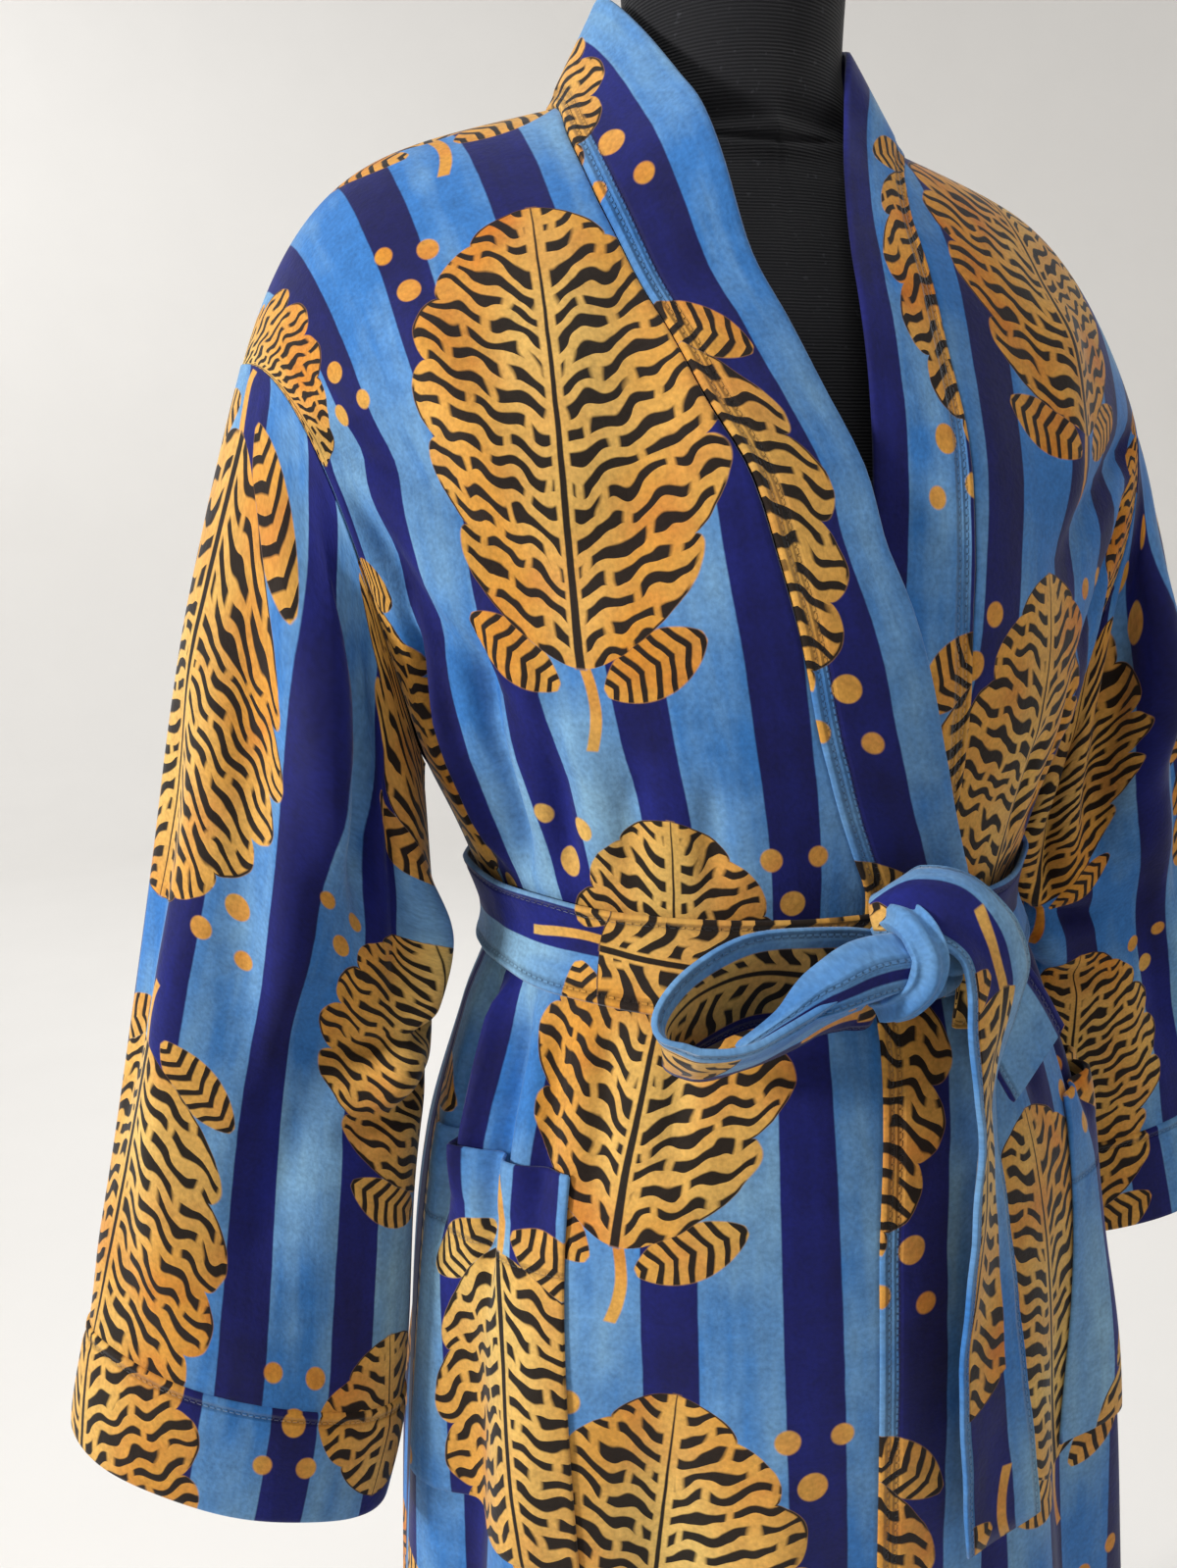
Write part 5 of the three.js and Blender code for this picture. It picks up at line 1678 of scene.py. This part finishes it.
@dataclass
class Knot:
    """The belt's knot: a swathed lump of cloth whose folds run aslant across it."""

    x: float = 22
    y: float = -149
    z: float = 1006
    rx: float = 24
    ry: float = 19
    rz: float = 22
    lean: float = -14

    def build(self, name: str) -> bpy.types.Object:
        """The knot's mesh.

        It is an ellipsoid, squared a little towards a box. Its height has aslant rolls: sharp valleys
        where a sine of the place along the slant is lowest, and a hollow round its waist.

        Args:
            name: The piece's name.

        Returns:
            The mesh object.
        """
        lat = np.linspace(-math.pi / 2, math.pi / 2, 92)[1:-1]
        v, u = np.meshgrid(lat, np.linspace(0, 2 * math.pi, 140, endpoint=False), indexing="ij")
        cx, cz = np.cos(v), np.sin(v)
        sx = np.sign(np.sin(u)) * np.abs(np.sin(u)) ** 0.8
        sy = np.sign(np.cos(u)) * np.abs(np.cos(u)) ** 0.85
        x, y, z = cx ** 0.85 * sx, -(cx ** 0.85) * sy, np.sign(cz) * np.abs(cz) ** 0.85
        slant = 0.62 * x + 0.78 * z + 0.25 * y * x + 0.10 * np.sin(3 * x + 1)
        roll = 1 - np.abs(np.sin(slant * 4.1 + 0.9)) ** 0.5
        fine = np.sin(slant * 17 + 3 * x) * 0.25 + np.sin(slant * 29 - 4 * y) * 0.12
        swell = 1.0 - 0.17 * roll + 0.012 * fine
        shade = swell * (1 - 0.05 * hump(x, -1, 0.35))
        p = points(x * self.rx, y * self.ry, z * self.rz) * shade[..., None]
        a = self.lean * DEG
        turned = points(p[..., 0] * math.cos(a) + p[..., 2] * math.sin(a), p[..., 1],
                        -p[..., 0] * math.sin(a) + p[..., 2] * math.cos(a))
        co = turned + [self.x, self.y, self.z]
        s = (slant + 1.4) * 26
        t = np.concatenate([u, u[:, :1] + 2 * math.pi], 1) * 24
        uv = np.stack([np.concatenate([s, s[:, :1]], 1), t], -1)
        return Solid.loft(name, co * MM, uv * MM)


@dataclass
class DressForm:
    """The limbless form: body and neck in one cover cloth, and the cap that closes the neck."""

    bottom: float = 790
    shoulder: float = 1370
    neck: float = 1425
    top: float = 1530
    neck_seam_z: float = 1385
    neck_seam_y: float = -66
    neck_seam_rise: float = 0.36
    cap_y: float = 6
    cap_radius: float = 58
    gap: float = 0.3

    def build_body(self, name: str) -> bpy.types.Object:
        """The body's mesh: superellipse rings, with a rolled edge at the neck's top and at the bottom.

        Args:
            name: The piece's name.

        Returns:
            The mesh object.
        """
        half, front, back, middle, power = curves(FORM)
        z = np.concatenate([np.linspace(self.bottom, self.shoulder, 74)[:-1],
                            np.linspace(self.shoulder, self.neck, 56)[:-1],
                            np.linspace(self.neck, self.top, 36)])
        angle = np.linspace(0, 2 * math.pi, 144, endpoint=False)
        zz, aa = np.meshgrid(z, angle, indexing="ij")
        s, c, bend = np.sin(aa), np.cos(aa), 2 / power(zz)
        reach = np.where(c > 0, -front(zz), back(zz))
        edge = 1 - 0.05 * (1 - ease(0, 9, zz - self.bottom)) - 0.035 * ease(-5, 0, zz - self.top) ** 2
        x = half(zz) * np.sign(s) * np.abs(s) ** bend * edge
        y = middle(zz) + reach * np.abs(c) ** bend * edge
        seam = self.neck_seam_z + (y - self.neck_seam_y) * self.neck_seam_rise
        groove = -1.1 * hump(zz, seam, 1.5) + 0.5 * hump(zz, seam + 4, 3) + 0.5 * hump(zz, seam - 4, 3)
        front_seam = -0.9 * hump(x, 0, 1.4) * (c > 0) * (zz < seam)
        scale = 1 + (groove + front_seam) / np.maximum(np.hypot(x, y - middle(zz)), 30)
        co = points(x * scale, middle(zz) + (y - middle(zz)) * scale, zz)
        return Solid.loft(name, co * MM)

    def build_cap(self, name: str) -> bpy.types.Object:
        """The cap's mesh: a covered disc with a corded rim, turned from its profile.

        Args:
            name: The piece's name.

        Returns:
            The mesh object.
        """
        bottom = self.top + self.gap
        r = self.cap_radius
        profile = np.array([
            [0.5, 0], [r * 0.5, 0], [r - 3, 0], [r - 1, 0.4], [r - 0.2, 1.2], [r, 2.4], [r - 0.4, 3.6],
            [r - 1.3, 4.4], [r - 2.2, 4.7], [r - 2.9, 4.4], [r - 3.6, 4.9], [r - 5, 6.1], [r - 8, 7.0],
            [r - 14, 7.6], [r - 24, 8.1], [r - 38, 8.6], [3, 9.0], [0.5, 9.0],
        ])
        angle = np.linspace(0, 2 * math.pi, 128, endpoint=False)
        rr, aa = np.meshgrid(profile[:, 0], angle, indexing="ij")
        zz = np.repeat(profile[:, 1:], len(angle), 1)
        reach = rr * (1 + 0.0035 * np.sin(26 * aa) * hump(rr, r - 6, 5))
        co = points(reach * np.sin(aa), self.cap_y - reach * np.cos(aa), bottom + zz)
        return Solid.loft(name, co * MM)


@dataclass
class Studio:
    """A plain pale room, soft light, and the camera where the photograph was taken from."""

    azimuth: float = -16.04
    pitch: float = 8.86
    distance: float = 713.51
    across: float = -90.2
    height: float = 1068.66
    focal: float = 1290.0
    roll: float = -1.89
    picture_height: float = 1599

    def room(self) -> bpy.types.Object:
        """Floor and wall in one round sheet: a profile of floor, quarter circle and wall, turned."""
        arc = np.linspace(0, math.pi / 2, 20)
        r = np.concatenate([[0.02, 1.0, 3.0, 5.5], 5.5 + 1.5 * np.sin(arc[1:]), [7.0]])
        z = np.concatenate([[0.0, 0.0, 0.0, 0.0], 1.5 - 1.5 * np.cos(arc[1:]), [6.5]])
        angle = np.linspace(0, 2 * math.pi, 96, endpoint=False)
        rr, aa = np.meshgrid(r, angle, indexing="ij")
        co = points(rr * np.sin(aa), rr * np.cos(aa), np.repeat(z[:, None], len(angle), 1)).reshape(-1, 3)
        faces = Solid.quads(len(r), len(angle), True)[:, ::-1].tolist() + [list(range(len(angle)))[::-1]]
        data = bpy.data.meshes.new("room")
        data.from_pydata(co.tolist(), [], faces)
        return linked("room", data)

    def camera(self) -> None:
        """Puts the camera in place: it looks along its azimuth and pitch, rolled about its own axis."""
        az, el, roll = self.azimuth * DEG, self.pitch * DEG, self.roll * DEG
        right = Vector((math.cos(az), math.sin(az), 0))
        forward = Vector((-math.sin(az) * math.cos(el), math.cos(az) * math.cos(el), -math.sin(el)))
        up = right.cross(forward)
        side = right * math.cos(roll) + up * math.sin(roll)
        top = up * math.cos(roll) - right * math.sin(roll)
        place = (right * self.across + Vector((0, 0, self.height)) - forward * self.distance) * MM
        data = bpy.data.cameras.new("camera")
        data.sensor_width, data.lens, data.clip_start = 36, self.focal / self.picture_height * 36, 0.01
        made = bpy.data.objects.new("camera", data)
        made.matrix_world = Matrix.Translation(place) @ Matrix((side, top, -forward)).transposed().to_4x4()
        bpy.context.scene.collection.objects.link(made)
        bpy.context.scene.camera = made

    def light(self, name: str, place: tuple, target: tuple, size: float, power: float, tint: tuple) -> None:
        """One square soft light that faces its target.

        Args:
            name: The light's name.
            place: Where it is.
            target: Where it points.
            size: Its side.
            power: Its power in watts.
            tint: Its colour.
        """
        data = bpy.data.lights.new(name, "AREA")
        data.size, data.energy, data.color = size, power, tint
        made = bpy.data.objects.new(name, data)
        away = (Vector(place) - Vector(target)).to_track_quat("Z", "Y")
        made.matrix_world = Matrix.Translation(Vector(place)) @ away.to_matrix().to_4x4()
        bpy.context.scene.collection.objects.link(made)

    def build(self) -> None:
        """Room, lights and camera."""
        room = self.room()
        room.data.materials.append(Plaster("pale_plaster").material())
        self.camera()
        self.light("key", (-2.6, -0.55, 1.8), (0, 0, 1.1), 0.4, 74, (1.0, 0.985, 0.96))
        self.light("fill", (2.4, -2.2, 1.4), (0, 0, 1.0), 2.0, 5, (0.95, 0.97, 1.0))
        self.light("top", (-0.3, -0.5, 3.4), (0, 0, 1.0), 0.9, 22, (1.0, 1.0, 1.0))
        self.light("behind", (1.4, 2.6, 2.6), (0, 0.1, 1.0), 1.6, 30, (1.0, 1.0, 1.0))
        self.light("wall", (-2.2, 3.2, 4.2), (0.8, 7.0, 1.6), 2.0, 120, (1.0, 1.0, 1.0))
        world = bpy.data.worlds.new("soft_room_light")
        bpy.context.scene.world = world
        world.use_nodes = True
        sky = world.node_tree.nodes["Background"]
        sky.inputs["Color"].default_value = (1.0, 0.995, 0.985, 1)
        sky.inputs["Strength"].default_value = 0.22


class Held(Enum):
    """How a sheet is held."""

    HUNG = "hung"
    FOLDED = "folded"


@dataclass
class Robe:
    """The robe: every cut piece of velvet, each made and dressed."""

    skin: BodySkin
    velvets: dict[str, StripedVelvet]

    def dress(self, piece: bpy.types.Object, velvet: str, node: str = "") -> None:
        """Gives a piece its velvet, and puts it in the place of its CAD node.

        Args:
            piece: The new piece.
            velvet: The key of its velvet.
            node: The CAD node it stands for, where that isn't called the same as the velvet.
        """
        piece.data.materials.append(self.velvets[velvet].material())
        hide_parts(node or velvet)
        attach(piece, "root")
        LOG.info("%s: %d faces", piece.name, len(piece.data.polygons))

    def body(self) -> None:
        """Back, fronts and pockets."""
        back = BackPanel(self.skin).build()
        self.dress(back, "back")
        fronts = {}
        for name, hand, seam in (("front_right", -1, SEAM_RIGHT), ("front_left", 1, SEAM_LEFT)):
            front = fronts[name] = FrontPanel(self.skin, hand=hand, seam=seam)
            piece = front.build(name + "_cloth")
            self.dress(piece, name)
        for name, gape, columns in (("right", 4, 15), ("left", 8, 12)):
            pocket = Pocket(fronts["front_" + name], gape, columns)
            piece = pocket.build(f"pocket_{name}_cloth")
            self.dress(piece, "pocket_" + name)

    def bands(self) -> None:
        """The two halves of the neckband."""
        halves = (("right", -1, SEAM_RIGHT, STAND_RIGHT), ("left", 1, SEAM_LEFT, STAND_LEFT))
        for name, hand, seam, stand in halves:
            piece = Neckband(self.skin, hand, seam, stand).build(f"neckband_{name}_cloth")
            self.dress(piece, "neckband_" + name)

    def sleeves(self) -> None:
        """The two sleeves and their cuffs."""
        for name, hand, rows, creases in (("right", -1, SLEEVE_RIGHT, CREASES_SLEEVE_RIGHT),
                                          ("left", 1, SLEEVE_LEFT, CREASES_SLEEVE_LEFT)):
            sleeve = Sleeve(self.skin, hand, rows, creases)
            piece = sleeve.build_sleeve(f"sleeve_{name}_cloth")
            self.dress(piece, "sleeve_" + name)
            piece = sleeve.build_cuff(f"cuff_{name}_cloth")
            self.dress(piece, "cuff_" + name)

    def belt(self) -> None:
        """The belt: round the waist, its knot, the bow's loop and the two tails."""
        waist = WaistBelt(self.skin).build("belt_waist_cloth")
        self.dress(waist, "belt_waist")
        knot = Knot().build("belt_knot_cloth")
        self.dress(knot, "belt_knot")
        hood = Strap(LONG_TAIL, 50, 4.2, bevel=3, curl=self.tail_curl, taper=HOOD_WIDTH)
        short = Strap(SHORT_TAIL, 48, 4.2, bevel=10)
        wrap = Strap(KNOT_WRAP, 16, 8.0, curl=self.wrap_curl)
        roll = Strap(KNOT_ROLL, 30, 5.0, curl=self.roll_curl, taper=ROLL_WIDTH)
        straps = (
            ("belt_bow", "belt_bow", Strap(BOW, 48, 4.6, curl=self.bow_curl), "velvet_gold", (0.048, 0.24)),
            ("belt_wrap", "belt_knot", wrap, "velvet_blue", (0.027, 0.09)),
            ("belt_roll", "belt_knot", roll, "velvet_blue", (0.024, 0.11)),
            ("belt_tail_long", "belt_tail_long", hood, "velvet_navy", (0.05, 0.37)),
            ("belt_tail_short", "belt_tail_short", short, "velvet_blue", (0.048, 0.08)),
        )
        for name, node, strap, slot, flat in straps:
            piece = strap.build(name + "_cloth")
            self.dress(piece, name, node)

    @staticmethod
    def bow_curl(w: Array, t: Array) -> Array:
        """Pinched pleats near the knot that spread into a flat loop."""
        near = hump(t, 0.0, 0.16) + hump(t, 1.0, 0.14)
        return near * 2.2 * np.sin(w * 4.5 + 0.4) * (1 - w * w)

    @staticmethod
    def tail_curl(w: Array, t: Array) -> Array:
        """A hood over the knot whose edges turn in, and a pleat that fades down the tail.

        Args:
            w: Place across, from -1 to 1.
            t: Place along, from 0 to 1.

        Returns:
            How far the cloth stands out.
        """
        hood = 2.4 * hump(w, 0.1, 0.35) * hump(t, 0.13, 0.1) - 5.5 * w * w * (1 - ease(0.2, 0.32, t))
        pleat = 2.0 * np.sin(w * 3.6 - 0.5) * (1 - w * w) * hump(t, 0.26, 0.12)
        return hood + pleat + 1.0 * np.sin(w * 2 + 5 * t) * ease(0.4, 0.6, t)

    @staticmethod
    def wrap_curl(w: Array, t: Array) -> Array:
        """Two soft folds along the wrap."""
        return 1.6 * np.cos(w * 5.2 + 0.6 * np.sin(t * 6)) - 2.0 * w * w

    @staticmethod
    def roll_curl(w: Array, t: Array) -> Array:
        """Folded lengthwise: its middle stands out, and its two halves swell and fall back."""
        swell = 3.4 * hump(np.abs(w), 0.52 + 0.06 * np.sin(t * 7), 0.24)
        return ease(0.1, 0.5, t) * (8.0 * (1 - np.abs(w) ** 1.6) + swell) - 4 * w * w


def velvets() -> dict[str, StripedVelvet]:
    """The velvet of each piece: where its stripes and leaves fall, and its stitch lines."""
    band = {"leaf_shift": 0.137, "stitches_across": (0.004, 0.0085)}
    pocket = {"stitches_along": (0.853,)}
    cuff = {"stitches_along": (0.5025,)}
    belt = {"stitches_across": (0.003, 0.047)}
    plain = {"printed": (9.0, 9.001)}
    pieces = {
        "back": {"shift": 0.0524, "rise": 0.06},
        "front_right": {"shift": -0.0202, "rise": 0.035, "leaf_shift": -0.015},
        "front_left": {"shift": 0.020, "rise": 0.21, "leaf_shift": -0.022},
        "pocket_right": {"shift": 0.041, "rise": 0.10, "leaf_shift": 0.115, **pocket},
        "pocket_left": {"shift": 0.088, "rise": 0.17, "leaf_shift": 0.06, **pocket},
        "neckband_right": {"shift": -0.008, "rise": 0.03, **band},
        "neckband_left": {"shift": -0.040, "rise": 0.16, **band},
        "sleeve_right": {"shift": -0.032, "leaf_shift": 0.075},
        "sleeve_left": {"shift": 0.033, "rise": 0.14},
        "cuff_right": {"shift": 0.001, "rise": 0.15, "leaf_shift": 0.075, "grain": Grain.DOWN, **cuff},
        "cuff_left": {"shift": 0.066, "rise": 0.12, **cuff},
        "belt_waist": {"shift": -0.022, "rise": 0.0625, "leaf": 0.15, "leaf_shift": 0.079, **belt},
        "belt_knot": {"shift": -0.045, **plain},
        "belt_wrap": {"shift": -0.018, **plain},
        "belt_roll": {"shift": -0.0125, "navy_share": 0.085, "stitches_across": (0.0095, 0.0215), **plain},
        "belt_bow": {"shift": 0.03, "rise": 0.1165, "leaf_shift": 0.075, "printed": (0.009, 0.040),
                     "stitches_across": (0.003, 0.045)},
        "belt_tail_long": {"shift": -0.0045, "rise": -0.036, "leaf_shift": 0.085,
                           "printed": (0.004, 0.034), **belt},
        "belt_tail_short": {"shift": -0.040, "rise": 0.229, "leaf_shift": 0.064,
                            "stitches_across": (0.003, 0.043)},
    }
    return {name: StripedVelvet("velvet_" + name, **settings) for name, settings in pieces.items()}


def dress_form() -> None:
    """The form's two covered pieces in place of its CAD nodes, and paint on the stand's."""
    form = DressForm()
    cover = FormCloth().material()
    body, cap = form.build_body("form_cover"), form.build_cap("form_neck_cover")
    for piece, node in ((body, "form_body"), (cap, "form_neck_cap")):
        piece.data.materials.append(cover)
        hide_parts(node)
        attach(piece, "root")
        LOG.info("%s: %d faces", piece.name, len(piece.data.polygons))
    paint = SatinPaint().material()
    for node in ("stand_pole", "stand_foot"):
        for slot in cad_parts[node].material_slots:
            slot.material = paint
        LOG.info("%s: painted", node)


def main() -> None:
    """Builds the studio, the form and the robe."""
    logging.basicConfig(level=logging.INFO, format="%(message)s")
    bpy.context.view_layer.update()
    Studio().build()
    dress_form()
    robe = Robe(BodySkin(), velvets())
    robe.body()
    robe.bands()
    robe.sleeves()
    robe.belt()
    bpy.context.scene.view_settings.view_transform = "Standard"


if __name__ == "__main__":
    main()
